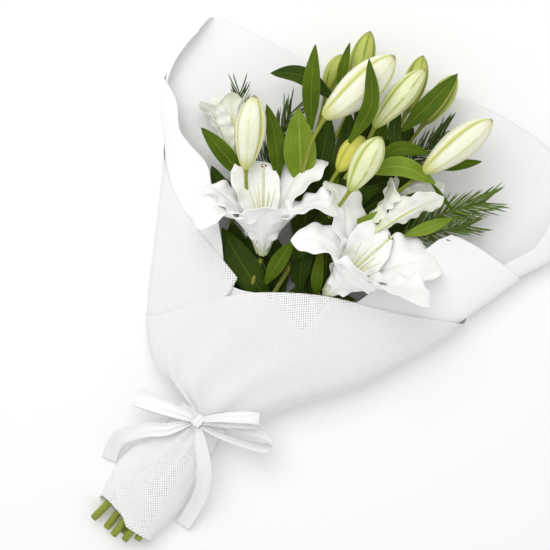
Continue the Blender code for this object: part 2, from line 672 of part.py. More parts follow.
def add_leaves():
    """The broad leaves between the flowers: base, middle, tip, width and lean."""
    plan = (
        ("leaf_1", (-0.0640, 0.1600, 0.0560), (-0.0900, 0.2020, 0.0700), (-0.1160, 0.2380, 0.0800), 0.021, 0),
        ("leaf_2", (-0.0900, 0.1900, 0.0540), (-0.1150, 0.1870, 0.0560), (-0.1400, 0.1870, 0.0560), 0.018, 0),
        ("leaf_3", (-0.0420, 0.1180, 0.0360), (-0.0650, 0.1440, 0.0440), (-0.0910, 0.1730, 0.0480), 0.032, 0),
        ("leaf_4", (-0.1100, 0.0700, 0.0480), (-0.1350, 0.0820, 0.0560), (-0.1620, 0.0950, 0.0560), 0.017, 0),
        ("leaf_5", (-0.0300, 0.1700, 0.1080), (-0.0420, 0.2100, 0.1220), (-0.0580, 0.2480, 0.1300), 0.017, 0),
        ("leaf_6", (0.0150, 0.2160, 0.0660), (0.0210, 0.2560, 0.0740), (0.0260, 0.2920, 0.0740), 0.018, 0),
        ("leaf_7", (0.0100, 0.1520, 0.0640), (0.0330, 0.1640, 0.0640), (0.0560, 0.1780, 0.0600), 0.020, 0),
        ("leaf_8", (-0.0420, -0.0120, 0.0440), (-0.0600, 0.0060, 0.0460), (-0.0790, 0.0220, 0.0440), 0.024, 0),
        ("leaf_9", (-0.0130, 0.0020, 0.0500), (-0.0140, 0.0280, 0.0560), (-0.0170, 0.0520, 0.0560), 0.019, 0),
    )
    for row in plan:
        add_leaf(*row)


def add_sprig(name, root, tip, needles, needle_length):
    """A fir twig whose needles are drawn out of its own faces, left, right and upward by turns."""
    sides = 6
    cuts = needles + 2
    path = along([place(*root), (place(*root) + place(*tip)) / 2, place(*tip)], cuts)
    directions = headings(path)
    rings = [ring(p, d, 0.0012 * SCALE * (1.25 - 0.5 * i / cuts), sides) for i, (p, d) in
             enumerate(zip(path, directions))]
    obj = add_loft(name, rings, NEEDLE_GREEN)
    bm = bmesh.new()
    bm.from_mesh(obj.data)
    bm.faces.ensure_lookup_table()
    picked = []
    for i in range(1, cuts - 1):
        for k in (0, 2):
            picked.append((bm.faces[i * sides + (k + i % 2) % sides], directions[i]))
    for face, direction in picked:
        out = face.normal.copy()
        flat = Vector((out.x, out.y, out.z * 0.4)).normalized()
        reach = needle_length * SCALE
        extrude_run(bm, face, ((flat * reach * 0.10 + direction * reach * 0.10, 0.55),
                               (flat * reach * 0.62 + direction * reach * 0.62, 0.5)))
    bm.to_mesh(obj.data)
    bm.free()


def add_sprigs():
    """Three needle sprigs: root, tip, number of needle pairs and needle length."""
    plan = (
        ("needle_sprig_left", (-0.1250, 0.1650, 0.0300), (-0.1450, 0.2080, 0.0380), 7, 0.020),
        ("needle_sprig_top", (0.0345, 0.1810, 0.0200), (0.0544, 0.2480, 0.0220), 6, 0.018),
        ("needle_sprig_right", (0.0980, 0.1900, 0.0300), (0.1360, 0.2340, 0.0380), 7, 0.020),
    )
    for row in plan:
        add_sprig(*row)


def main():
    """Build the whole bunch in an empty scene."""
    for obj in list(bpy.data.objects):
        bpy.data.objects.remove(obj, do_unlink=True)
    add_burlap()
    add_inner_paper()
    add_back_paper()
    add_ribbon()
    add_stems()
    add_tie()
    add_flowers()
    add_trumpet()
    add_buds()
    add_leaves()
    add_sprigs()


main()
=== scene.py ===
import logging
import math
import random
from dataclasses import dataclass
from enum import Enum
from typing import Callable, Sequence

import bpy
import numpy as np
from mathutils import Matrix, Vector


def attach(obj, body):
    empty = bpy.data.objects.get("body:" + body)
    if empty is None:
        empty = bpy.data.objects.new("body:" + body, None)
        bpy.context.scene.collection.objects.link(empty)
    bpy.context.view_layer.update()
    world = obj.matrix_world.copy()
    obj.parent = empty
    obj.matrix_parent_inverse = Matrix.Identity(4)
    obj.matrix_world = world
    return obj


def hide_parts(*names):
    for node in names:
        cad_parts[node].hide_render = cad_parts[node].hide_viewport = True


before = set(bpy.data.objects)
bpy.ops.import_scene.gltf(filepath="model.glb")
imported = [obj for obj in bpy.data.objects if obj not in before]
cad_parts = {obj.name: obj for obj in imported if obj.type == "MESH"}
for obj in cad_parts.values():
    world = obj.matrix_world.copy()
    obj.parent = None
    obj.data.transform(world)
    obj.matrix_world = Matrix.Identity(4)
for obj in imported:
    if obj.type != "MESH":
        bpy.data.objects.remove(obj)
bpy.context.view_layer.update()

log = logging.getLogger("bouquet")
Array = np.ndarray
Point = tuple[float, float, float]
Keys = Sequence[tuple[float, float]]


# ---- numbers and curves ------------------------------------------------------

def smooth(keys: Keys, x: Array | float) -> Array:
    """Read a curve that runs smoothly through its keys and stays level past its ends.

    Args:
        keys: (x, value) pairs in rising order of x.
        x: where to read the curve.

    Returns:
        The curve's values at x.
    """
    xs = np.array([k[0] for k in keys], float)
    ys = np.array([k[1] for k in keys], float)
    before = np.maximum(np.arange(len(xs)) - 1, 0)
    after = np.minimum(np.arange(len(xs)) + 1, len(xs) - 1)
    slopes = (ys[after] - ys[before]) / (xs[after] - xs[before])
    at = np.clip(np.asarray(x, float), xs[0], xs[-1])
    i = np.clip(np.searchsorted(xs, at, side="right") - 1, 0, len(xs) - 2)
    span = xs[i + 1] - xs[i]
    t = (at - xs[i]) / span
    rise = 3 * t ** 2 - 2 * t ** 3
    value = ys[i] * (1 - rise) + ys[i + 1] * rise
    value = value + span * slopes[i] * (t ** 3 - 2 * t ** 2 + t)
    return value + span * slopes[i + 1] * (t ** 3 - t ** 2)


def path_through(points: Sequence[Point], count: int) -> Array:
    """Points on a smooth curve through the given points, evenly numbered between them.

    Args:
        points: the points that the curve passes through.
        count: how many points to return.

    Returns:
        An array of count rows of x, y, z.
    """
    marks = range(len(points))
    at = np.linspace(0, len(points) - 1, count)
    return np.stack([smooth([(i, points[i][k]) for i in marks], at) for k in range(3)], axis=1)


def metres(points: Sequence[Point]) -> list[Point]:
    """Points given in millimetres, in metres."""
    return [tuple(value / 1000 for value in point) for point in points]


def constant(value: float) -> Callable[[Array], Array]:
    """A function that gives the same value everywhere."""
    return lambda x: np.full(np.shape(x), value)


def unit(vectors: Array) -> Array:
    """Each row scaled to length one."""
    return vectors / np.maximum(np.linalg.norm(vectors, axis=-1, keepdims=True), 1e-9)


def headings(path: Array) -> Array:
    """The direction of travel at each point of a path."""
    return unit(np.gradient(path, axis=0))


def sides_and_lifts(directions: Array) -> tuple[Array, Array]:
    """The level direction across a path and the one square to both, at each of its points."""
    across = unit(np.cross(directions, np.array([0.0, 0.0, 1.0])))
    return across, unit(np.cross(across, directions))


def rolled(across: Array, lift: Array, degrees: Array) -> tuple[Array, Array]:
    """The two directions square to a path, turned about it by an angle for each point."""
    turn = np.radians(degrees)[:, None]
    return across * np.cos(turn) + lift * np.sin(turn), lift * np.cos(turn) - across * np.sin(turn)


# ---- shader maths ------------------------------------------------------------

def math_method(operation: str, reflected: bool = False) -> Callable[..., "Term"]:
    """A Term method that adds one Math node.

    Args:
        operation: what the node works out.
        reflected: whether the other value comes before the Term.

    Returns:
        The method; it takes no other value or one, and gives a Term.
    """
    def apply(self: "Term", *others: "Term | float") -> "Term":
        node = self.tree.nodes.new("ShaderNodeMath")
        node.operation = operation
        values = (*others, self) if reflected else (self, *others)
        for slot, value in zip(node.inputs, values):
            if isinstance(value, Term):
                self.tree.links.new(value.socket, slot)
            else:
                slot.default_value = value
        return Term(self.tree, node.outputs[0])
    return apply


class Term:
    """A socket that can be used in Python arithmetic: each operation adds a Math node.

    share is the part after the decimal point; above gives one where it holds, else zero.
    """

    __add__ = __radd__ = math_method("ADD")
    __mul__ = __rmul__ = math_method("MULTIPLY")
    __sub__ = math_method("SUBTRACT")
    __rsub__ = math_method("SUBTRACT", reflected=True)
    __truediv__ = math_method("DIVIDE")
    __pow__ = math_method("POWER")
    __abs__ = math_method("ABSOLUTE")
    sine = math_method("SINE")
    share = math_method("FRACT")
    above = math_method("GREATER_THAN")
    highest = math_method("MAXIMUM")
    lowest = math_method("MINIMUM")

    def __init__(self, tree: bpy.types.NodeTree, socket: bpy.types.NodeSocket) -> None:
        """Wrap an output socket of a node tree."""
        self.tree = tree
        self.socket = socket

    def ramp(self, low: float, high: float) -> "Term":
        """A soft step from zero at low to one at high."""
        node = self.tree.nodes.new("ShaderNodeMapRange")
        node.interpolation_type = "SMOOTHSTEP"
        self.tree.links.new(self.socket, node.inputs["Value"])
        node.inputs["From Min"].default_value = low
        node.inputs["From Max"].default_value = high
        return Term(self.tree, node.outputs["Result"])


Colour = tuple[float, float, float]


class Dye:
    """One material being made: a Principled shader and the nodes that feed it."""

    MIX_ENDS = (6, 7)
    MIX_RESULT = 2

    def __init__(self, name: str) -> None:
        """Start a material."""
        self.material = bpy.data.materials.new(name)
        self.material.use_nodes = True
        self.tree = self.material.node_tree
        self.shader = self.tree.nodes["Principled BSDF"]

    def even(self, socket: str, value: float | Sequence[float]) -> None:
        """Set one of the shader's sockets to the same value all over."""
        self.shader.inputs[socket].default_value = value

    def node(self, kind: str, settings: dict[str, object] | None = None,
             inputs: dict[str | int, object] | None = None) -> bpy.types.Node:
        """Add a node.

        Args:
            kind: the node's type.
            settings: properties of the node, set before its sockets.
            inputs: values or Terms for its input sockets.

        Returns:
            The new node.
        """
        node = self.tree.nodes.new(kind)
        for key, value in (settings or {}).items():
            setattr(node, key, value)
        for key, value in (inputs or {}).items():
            if isinstance(value, Term):
                self.tree.links.new(value.socket, node.inputs[key])
            else:
                node.inputs[key].default_value = value
        return node

    def term(self, node: bpy.types.Node, output: str | int = 0) -> Term:
        """An output of a node as a Term."""
        return Term(self.tree, node.outputs[output])

    def uv(self) -> tuple[Term, Term]:
        """The piece's own two surface coordinates."""
        split = self.node("ShaderNodeSeparateXYZ",
                          inputs={0: self.term(self.node("ShaderNodeTexCoord"), "UV")})
        return self.term(split, "X"), self.term(split, "Y")

    def noise(self, scale: float, detail: float = 3.0, squeeze: Point = (1.0, 1.0, 1.0),
              on_uv: bool = False) -> Term:
        """Noise over the piece's place, or over its UV map, squeezed along each axis."""
        source = self.term(self.node("ShaderNodeTexCoord"), "UV" if on_uv else "Object")
        mapping = self.node("ShaderNodeMapping", inputs={"Vector": source, "Scale": squeeze})
        place = self.term(mapping)
        cloud = self.node("ShaderNodeTexNoise",
                          inputs={"Vector": place, "Scale": scale, "Detail": detail})
        return self.term(cloud, 0)

    def mix(self, share: Term, a: "Colour | Term", b: "Colour | Term") -> Term:
        """A colour between a and b."""
        inputs = {"Factor": share}
        for slot, value in zip(self.MIX_ENDS, (a, b)):
            inputs[slot] = value if isinstance(value, Term) else (*value, 1.0)
        return self.term(self.node("ShaderNodeMix", {"data_type": "RGBA"}, inputs), self.MIX_RESULT)

    def feed(self, socket: str, term: Term) -> None:
        """Link a Term to one of the shader's sockets."""
        self.tree.links.new(term.socket, self.shader.inputs[socket])

    def dress(self, colour: Term, height: Term, strength: float, distance: float,
              roughness: Term | float) -> bpy.types.Material:
        """Link the colour, the relief and the roughness.

        Args:
            colour: the surface's colour.
            height: how far it rises, in shares of distance.
            strength: how strongly the relief shades it.
            distance: the height's unit, in metres.
            roughness: a Term that varies, or one value all over.

        Returns:
            The finished material.
        """
        self.feed("Base Color", colour)
        if isinstance(roughness, Term):
            self.feed("Roughness", roughness)
        else:
            self.even("Roughness", roughness)
        bump = self.node("ShaderNodeBump",
                         inputs={"Strength": strength, "Distance": distance, "Height": height})
        self.feed("Normal", self.term(bump))
        return self.material


# ---- finishes ----------------------------------------------------------------

@dataclass(frozen=True)
class PetalFinish:
    """White tepal: green at the foot and along the midrib, with fine lengthwise veins."""

    name: str = "tepal"
    white: Colour = (0.985, 0.985, 0.975)
    shade: Colour = (0.95, 0.955, 0.935)
    foot: Colour = (0.62, 0.68, 0.34)
    foot_end: float = 0.30
    rib: Colour = (0.72, 0.76, 0.50)
    rib_strength: float = 0.35
    veins: int = 15

    def make(self) -> bpy.types.Material:
        """Build the material."""
        dye = Dye(self.name)
        u, v = dye.uv()
        wander = dye.noise(60.0, 2.0) * 0.02
        across = abs(u - 0.5 + wander) * 2.0
        veins = ((u + wander * 0.6) * (math.tau * self.veins)).sine()
        clouds = dye.noise(38.0, 4.0)
        colour = dye.mix(clouds.ramp(0.35, 0.75), self.white, self.shade)
        rib = (1.0 - across.ramp(0.0, 0.10)) * (1.0 - v.ramp(0.35, 0.95)) * self.rib_strength
        colour = dye.mix(rib, colour, self.rib)
        green = (1.0 - v.ramp(0.0, self.foot_end)) * 0.85
        colour = dye.mix(green, colour, self.foot)
        groove = 1.0 - across.ramp(0.0, 0.08)
        height = veins * 0.18 + clouds * 0.5 - groove * 0.9 + dye.noise(900.0, 2.0) * 0.25
        dye.even("Sheen Weight", 0.12)
        return dye.dress(colour, height, 0.16, 0.0010, clouds * 0.20 + 0.36)


@dataclass(frozen=True)
class BudFinish:
    """Closed bud: pale faces between green seams, greener at the neck and browned at the tip."""

    name: str
    face: Colour
    seam: Colour
    tip: Colour = (0.20, 0.17, 0.05)
    blush: float = 0.38
    veins: int = 54

    def make(self) -> bpy.types.Material:
        """Build the material."""
        dye = Dye(self.name)
        u, v = dye.uv()
        wander = dye.noise(70.0, 2.0) * 0.012
        third = abs((u * 3.0 + wander).share() - 0.5) * 2.0
        rib = 1.0 - third.ramp(0.0, 0.16)
        edge = third.ramp(0.70, 1.0)
        streak = dye.noise(7.0, 3.0, (22.0, 1.0, 1.0), True).ramp(0.42, 0.70)
        veins = (u * (math.tau * self.veins) + wander * 60.0).sine()
        clouds = dye.noise(45.0, 4.0)
        stain = edge * 0.85 + rib * self.blush * clouds.ramp(0.3, 0.6) + streak * 0.22
        stain = stain + veins.ramp(0.4, 1.0) * 0.10 + clouds * 0.16 - 0.03
        colour = dye.mix(stain.highest(0.0).lowest(1.0), self.face, self.seam)
        ends = (1.0 - v.ramp(0.0, 0.26)) * 0.85 + v.ramp(0.84, 1.0) * 0.5
        colour = dye.mix(ends, colour, self.seam)
        colour = dye.mix(v.ramp(0.955, 0.99) * 0.8, colour, self.tip)
        height = rib * 0.7 - edge * 1.2 + veins * 0.10 + clouds * 0.4
        dye.even("Subsurface Weight", 0.12)
        dye.even("Subsurface Radius", (0.9, 1.0, 0.5))
        dye.even("Subsurface Scale", 0.004)
        return dye.dress(colour, height, 0.35, 0.0012, clouds * 0.25 + 0.30)


@dataclass(frozen=True)
class LeafFinish:
    """Green blade with parallel veins, a paler midrib, edges painted paler as a highlight, and a
    soft gloss.
    """

    name: str
    deep: Colour
    bright: Colour
    rib: Colour
    veins: float = 11.0

    def make(self) -> bpy.types.Material:
        """Build the material."""
        dye = Dye(self.name)
        u, _ = dye.uv()
        wander = dye.noise(50.0, 2.0) * 0.02
        across = abs(u - 0.5) * 2.0
        lines = ((u + wander) * (math.tau * self.veins)).sine()
        clouds = dye.noise(30.0, 4.0)
        streaks = dye.noise(9.0, 3.0, (14.0, 1.0, 1.0), True)
        colour = dye.mix((clouds * 0.6 + streaks * 0.5).ramp(0.35, 0.85), self.deep, self.bright)
        colour = dye.mix(lines.ramp(0.55, 1.0) * 0.30, colour, self.rib)
        colour = dye.mix((1.0 - across.ramp(0.02, 0.09)) * 0.65, colour, self.rib)
        # Paler margins: a painted highlight along the leaf's edges.
        colour = dye.mix(across.ramp(0.90, 1.0) * 0.45, colour, self.rib)
        height = lines * 0.35 - (1.0 - across.ramp(0.0, 0.08)) * 1.2 + clouds * 0.5
        dye.even("Specular IOR Level", 0.10)
        return dye.dress(colour, height, 0.45, 0.0008, clouds * 0.25 + 0.28)


@dataclass(frozen=True)
class WeaveFinish:
    """Open plain weave of slubby threads, with square holes between them; each thread is painted
    darker towards its edges, a painted shade where it dips under the crossing one.
    """

    name: str = "burlap"
    thread: Colour = (0.985, 0.985, 0.98)
    # dip: colour of a thread's edges, painted shade where it curves down under the crossing thread
    dip: Colour = (0.80, 0.80, 0.795)
    pitch: float = 0.0027
    open_share: float = 0.33

    def make(self) -> bpy.types.Material:
        """Build the material; the piece's UV map is in metres along the two thread directions."""
        dye = Dye(self.name)
        u, v = dye.uv()
        slub = dye.noise(160.0, 2.0)
        warp = abs((u / self.pitch + slub * 0.30).share() - 0.5) * 2.0
        weft = abs((v / self.pitch + dye.noise(140.0, 2.0) * 0.30).share() - 0.5) * 2.0
        gap = 1.0 - self.open_share + (slub - 0.5) * 0.35
        hole = warp.above(gap) * weft.above(gap)
        parity = abs((u / (self.pitch * 2.0)).share() - 0.5).above(0.25)
        other = abs((v / (self.pitch * 2.0)).share() - 0.5).above(0.25)
        over = abs(parity - other)
        crown = (1.0 - warp ** 2.0) * over + (1.0 - weft ** 2.0) * (1.0 - over)
        fibre = dye.noise(2500.0, 2.0)
        # Darker towards each thread's edges: painted shade between the threads.
        colour = dye.mix((crown * 0.9 + fibre * 0.2).lowest(1.0), self.dip, self.thread)
        dye.feed("Alpha", 1.0 - hole)
        dye.even("Sheen Weight", 0.15)
        return dye.dress(colour, crown + fibre * 0.35 + slub * 0.5, 0.20, 0.0012, 0.92)


@dataclass(frozen=True)
class PaperFinish:
    """Smooth non-woven wrapping sheet: fine fibres and shallow handling creases."""

    name: str
    white: Colour = (0.94, 0.94, 0.94)
    shade: Colour = (0.91, 0.91, 0.91)

    def make(self) -> bpy.types.Material:
        """Build the material."""
        dye = Dye(self.name)
        fibres = dye.noise(700.0, 4.0, (1.0, 0.35, 1.0))
        clouds = dye.noise(9.0, 4.0)
        creases = abs(dye.noise(14.0, 3.0, (1.0, 0.5, 1.0)) - 0.5).ramp(0.0, 0.03)
        colour = dye.mix((clouds * 0.7 + fibres * 0.3).ramp(0.3, 0.75), self.white, self.shade)
        dye.even("Sheen Weight", 0.10)
        height = fibres * 0.12 + creases * 0.25 + clouds * 0.6
        return dye.dress(colour, height, 0.25, 0.003, fibres * 0.2 + 0.68)


@dataclass(frozen=True)
class SatinFinish:
    """White satin ribbon: fine cross ribs, woven edges and a long soft gloss."""

    name: str = "ribbon"
    white: Colour = (0.92, 0.92, 0.925)
    edge: Colour = (0.80, 0.80, 0.805)
    ribs: int = 130

    def make(self) -> bpy.types.Material:
        """Build the material; u runs across the ribbon and v along it."""
        dye = Dye(self.name)
        u, v = dye.uv()
        across = abs(u - 0.5) * 2.0
        selvedge = across.ramp(0.86, 0.92)
        ribs = (v * (math.tau * self.ribs)).sine()
        grain = dye.noise(1100.0, 2.0, (1.0, 6.0, 1.0), True)
        colour = dye.mix(selvedge * 0.6 + grain * 0.15, self.white, self.edge)
        dye.even("Anisotropic", 0.45)
        dye.even("Sheen Weight", 0.20)
        height = ribs * 0.3 + grain * 0.4 + selvedge * 0.8
        return dye.dress(colour, height, 0.22, 0.0005, grain * 0.15 + selvedge * 0.20 + 0.20)


@dataclass(frozen=True)
class StalkFinish:
    """Green stalk with lengthwise streaks and darker flecks."""

    name: str
    pale: Colour
    dark: Colour

    def make(self) -> bpy.types.Material:
        """Build the material."""
        dye = Dye(self.name)
        streaks = dye.noise(16.0, 4.0, (10.0, 1.0, 1.0), True)
        flecks = dye.noise(400.0, 2.0)
        colour = dye.mix((streaks * 0.8 + flecks * 0.25).ramp(0.35, 0.75), self.pale, self.dark)
        height = streaks * 0.8 + flecks * 0.3
        return dye.dress(colour, height, 0.3, 0.0006, streaks * 0.25 + 0.28)


@dataclass(frozen=True)
class PistilFinish:
    """Pale green style and filaments that end in a maroon stigma; v runs from foot to end."""

    name: str = "pistil"
    shaft: Colour = (0.70, 0.72, 0.36)
    pale: Colour = (0.88, 0.89, 0.72)
    stigma: Colour = (0.10, 0.025, 0.012)
    stigma_from: float = 0.93

    def make(self) -> bpy.types.Material:
        """Build the material."""
        dye = Dye(self.name)
        _, v = dye.uv()
        grain = dye.noise(300.0, 3.0)
        colour = dye.mix(grain.ramp(0.3, 0.8), self.shaft, self.pale)
        end = v.ramp(self.stigma_from - 0.01, self.stigma_from + 0.01)
        colour = dye.mix(end, colour, self.stigma)
        return dye.dress(colour, grain, 0.3, 0.0004, grain * 0.3 + 0.25)


@dataclass(frozen=True)
class TwineFinish:
    """Natural twine that ties the stems."""

    name: str = "twine"
    straw: Colour = (0.42, 0.31, 0.17)
    dark: Colour = (0.24, 0.17, 0.09)

    def make(self) -> bpy.types.Material:
        """Build the material."""
        dye = Dye(self.name)
        u, v = dye.uv()
        lay = ((u * 40.0 + v * 3.0) * math.tau).sine()
        grain = dye.noise(900.0, 3.0)
        colour = dye.mix((lay * 0.3 + grain).ramp(0.2, 0.9), self.dark, self.straw)
        return dye.dress(colour, lay * 0.6 + grain * 0.5, 0.6, 0.0006, 0.9)


class Greens(Enum):
    """The leaf colours that the bunch has; the darkest is the deep green with painted shade, for
    leaves that lie low, under or between others.
    """

    DEEP = "deep"
    FRESH = "fresh"
    DARK = "dark"


class BudKind(Enum):
    """How far a bud has coloured."""

    CREAM = "cream"
    FRESH = "fresh"
    GREEN = "green"
    YELLOW = "yellow"


class Palette:
    """Every finish of the bunch, each made once."""

    def __init__(self) -> None:
        """Make all the materials."""
        self.tepal = PetalFinish().make()
        self.young_tepal = PetalFinish("tepal_young", (0.95, 0.95, 0.90), (0.88, 0.89, 0.76),
                                       foot_end=0.55, rib=(0.60, 0.65, 0.12),
                                       rib_strength=1.4).make()
        self.bud = {kind: BudFinish(f"bud_{kind.value}", *looks).make() for kind, *looks in (
            (BudKind.CREAM, (0.94, 0.93, 0.80), (0.58, 0.60, 0.12)),
            (BudKind.FRESH, (0.86, 0.88, 0.56), (0.42, 0.50, 0.06), BudFinish.tip, 0.9),
            (BudKind.GREEN, (0.54, 0.58, 0.11), (0.18, 0.25, 0.012), BudFinish.tip, 0.8),
            (BudKind.YELLOW, (0.78, 0.72, 0.12), (0.46, 0.52, 0.06)))}
        self.leaf = {green: LeafFinish(f"leaf_{green.value}", *looks).make() for green, *looks in (
            (Greens.DEEP, (0.042, 0.084, 0.002), (0.118, 0.185, 0.006), (0.19, 0.27, 0.028)),
            (Greens.FRESH, (0.135, 0.215, 0.008), (0.270, 0.39, 0.045), (0.36, 0.46, 0.10)),
            # The darkest green is the deep one at about half its brightness: painted shade for
            # leaves low in the bunch.
            (Greens.DARK, (0.018, 0.042, 0.002), (0.056, 0.100, 0.004), (0.11, 0.17, 0.020)))}
        self.needle, self.fresh_needle, self.stem, self.cut = (
            StalkFinish(*looks).make() for looks in (
                ("needle", (0.070, 0.120, 0.006), (0.020, 0.045, 0.003)),
                ("needle_fresh", (0.16, 0.25, 0.012), (0.055, 0.105, 0.006)),
                ("stem", (0.36, 0.40, 0.035), (0.13, 0.17, 0.010)),
                ("stem_cut", (0.55, 0.56, 0.24), (0.33, 0.36, 0.09))))
        self.pistil = PistilFinish().make()
        self.filament = PistilFinish("filament", stigma_from=2.0).make()
        self.burlap = WeaveFinish().make()
        self.paper = PaperFinish("paper").make()
        self.back_paper = PaperFinish("paper_back", (0.93, 0.93, 0.93), (0.89, 0.89, 0.895)).make()
        self.ribbon = SatinFinish().make()
        self.twine = TwineFinish().make()


# ---- making meshes -----------------------------------------------------------

class Bench:
    """Makes pieces from Blender's primitives, edit-mode operators and applied modifiers."""

    BODY = "root"

    @staticmethod
    def pick(*parts: bpy.types.Object) -> None:
        """Select these objects alone, in object mode, with the first of them active."""
        if bpy.context.object and bpy.context.object.mode != "OBJECT":
            bpy.ops.object.mode_set(mode="OBJECT")
        bpy.ops.object.select_all(action="DESELECT")
        for part in parts:
            part.select_set(True)
        if parts:
            bpy.context.view_layer.objects.active = parts[0]

    @classmethod
    def cloth(cls, name: str, rows: Array, scale: tuple[float, float] = (1.0, 1.0),
              closed: bool = False, chart: Array | None = None) -> bpy.types.Object:
        """A grid primitive whose points take the places in rows.

        Args:
            name: the piece's name.
            rows: array of rows x columns x 3, in metres.
            scale: the size of the UV map across the columns and along the rows.
            closed: whether each row ends where it starts, so that its ends are joined.
            chart: the UV place of each point, in place of the even one.

        Returns:
            The new object, with its UV map.
        """
        cls.pick()
        tall, wide = rows.shape[:2]
        bpy.ops.mesh.primitive_grid_add(x_subdivisions=wide - 1, y_subdivisions=tall - 1, size=2.0)
        obj = bpy.context.object
        obj.name = name
        mesh = obj.data
        flat = np.empty(len(mesh.vertices) * 3)
        mesh.vertices.foreach_get("co", flat)
        flat = flat.reshape(-1, 3)
        column = np.rint((flat[:, 0] + 1) / 2 * (wide - 1)).astype(int)
        row = np.rint((flat[:, 1] + 1) / 2 * (tall - 1)).astype(int)
        mesh.vertices.foreach_set("co", rows[row, column].ravel())
        corners = np.empty(len(mesh.loops), int)
        mesh.loops.foreach_get("vertex_index", corners)
        if chart is None:
            marks = (np.linspace(0, scale[0], wide), np.linspace(0, scale[1], tall))
            chart = np.stack(np.meshgrid(*marks), -1)
        places = chart[row[corners], column[corners]]
        mesh.uv_layers[0].data.foreach_set("uv", places.ravel())
        mesh.update()
        if closed:
            cls.edit(obj, lambda: bpy.ops.mesh.remove_doubles(threshold=1e-6))
        return obj

    @classmethod
    def edit(cls, obj: bpy.types.Object, work: Callable[[], object]) -> None:
        """Run edit-mode operators on all of one object."""
        cls.pick(obj)
        bpy.ops.object.mode_set(mode="EDIT")
        bpy.ops.mesh.select_all(action="SELECT")
        work()
        bpy.ops.object.mode_set(mode="OBJECT")

    @classmethod
    def thicken(cls, obj: bpy.types.Object, thickness: float) -> None:
        """Give a grid its thickness, evenly to both sides."""
        cls.pick(obj)
        shell = obj.modifiers.new("thickness", "SOLIDIFY")
        shell.thickness = thickness
        shell.offset = 0.0
        bpy.ops.object.modifier_apply(modifier=shell.name)

    @classmethod
    def cap(cls, obj: bpy.types.Object) -> None:
        """Close the open ends of a tube and turn its faces outward."""
        def close() -> None:
            bpy.ops.mesh.fill_holes(sides=0)
            bpy.ops.mesh.select_all(action="SELECT")
            bpy.ops.mesh.normals_make_consistent(inside=False)
        cls.edit(obj, close)

    @classmethod
    def tube(cls, name: str, path: Array, radii: Array, around: int,
             scale: tuple[float, float] = (1.0, 1.0), lobes: Array | float = 0.0,
             material: bpy.types.Material | None = None) -> bpy.types.Object:
        """A closed tube round a path.

        Args:
            name: the piece's name.
            path: its centre line.
            radii: its radius at each point of the path.
            around: how many points go round it.
            scale: the size of its UV map round it and along it.
            lobes: depth of three lengthwise grooves, as a share of the radius.
            material: its finish, if it has its own.

        Returns:
            The new object, with capped ends.
        """
        obj = cls.cloth(name, tube_rows(path, radii, around, lobes), scale, closed=True)
        cls.cap(obj)
        if material:
            obj.data.materials.append(material)
        return obj

    @classmethod
    def join(cls, name: str, parts: Sequence[bpy.types.Object]) -> bpy.types.Object:
        """Join several meshes into one object."""
        cls.pick(*parts)
        bpy.ops.object.join()
        parts[0].name = name
        return parts[0]

    @classmethod
    def finish(cls, obj: bpy.types.Object, material: bpy.types.Material, slot: str,
               replaces: Sequence[str] = ()) -> bpy.types.Object:
        """Shade a piece, dress it, seat it on the bunch and report it.

        Args:
            obj: the piece.
            material: its finish.
            slot: not used.
            replaces: the CAD nodes that it stands for.

        Returns:
            The same piece.
        """
        cls.pick(obj)
        bpy.ops.object.shade_smooth()
        if not obj.data.materials:
            obj.data.materials.append(material)
        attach(obj, cls.BODY)
        if replaces:
            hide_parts(*replaces)
        log.info("%s: %d faces", obj.name, len(obj.data.polygons))
        return obj


def tube_rows(path: Array, radii: Array, around: int, lobes: Array | float = 0.0) -> Array:
    """Rows of points round a path, the last point of each row on its first.

    Args:
        path: the tube's centre line.
        radii: its radius at each point of the path.
        around: how many points go round it.
        lobes: depth of three lengthwise grooves, as a share of the radius, for each row.

    Returns:
        The rows, for a closed cloth.
    """
    across, lift = sides_and_lifts(headings(path))
    turn = np.linspace(0, math.tau, around + 1)[None, :]
    depth = np.broadcast_to(np.asarray(lobes, float), (len(path),))[:, None]
    groove = np.abs(np.cos(1.5 * turn)) ** 0.6
    radius = radii[:, None] * (1 - depth * (1 - groove))
    x = (radius * np.cos(turn))[..., None]
    y = (radius * np.sin(turn))[..., None]
    return path[:, None, :] + across[:, None, :] * x + lift[:, None, :] * y


# ---- wrap --------------------------------------------------------------------

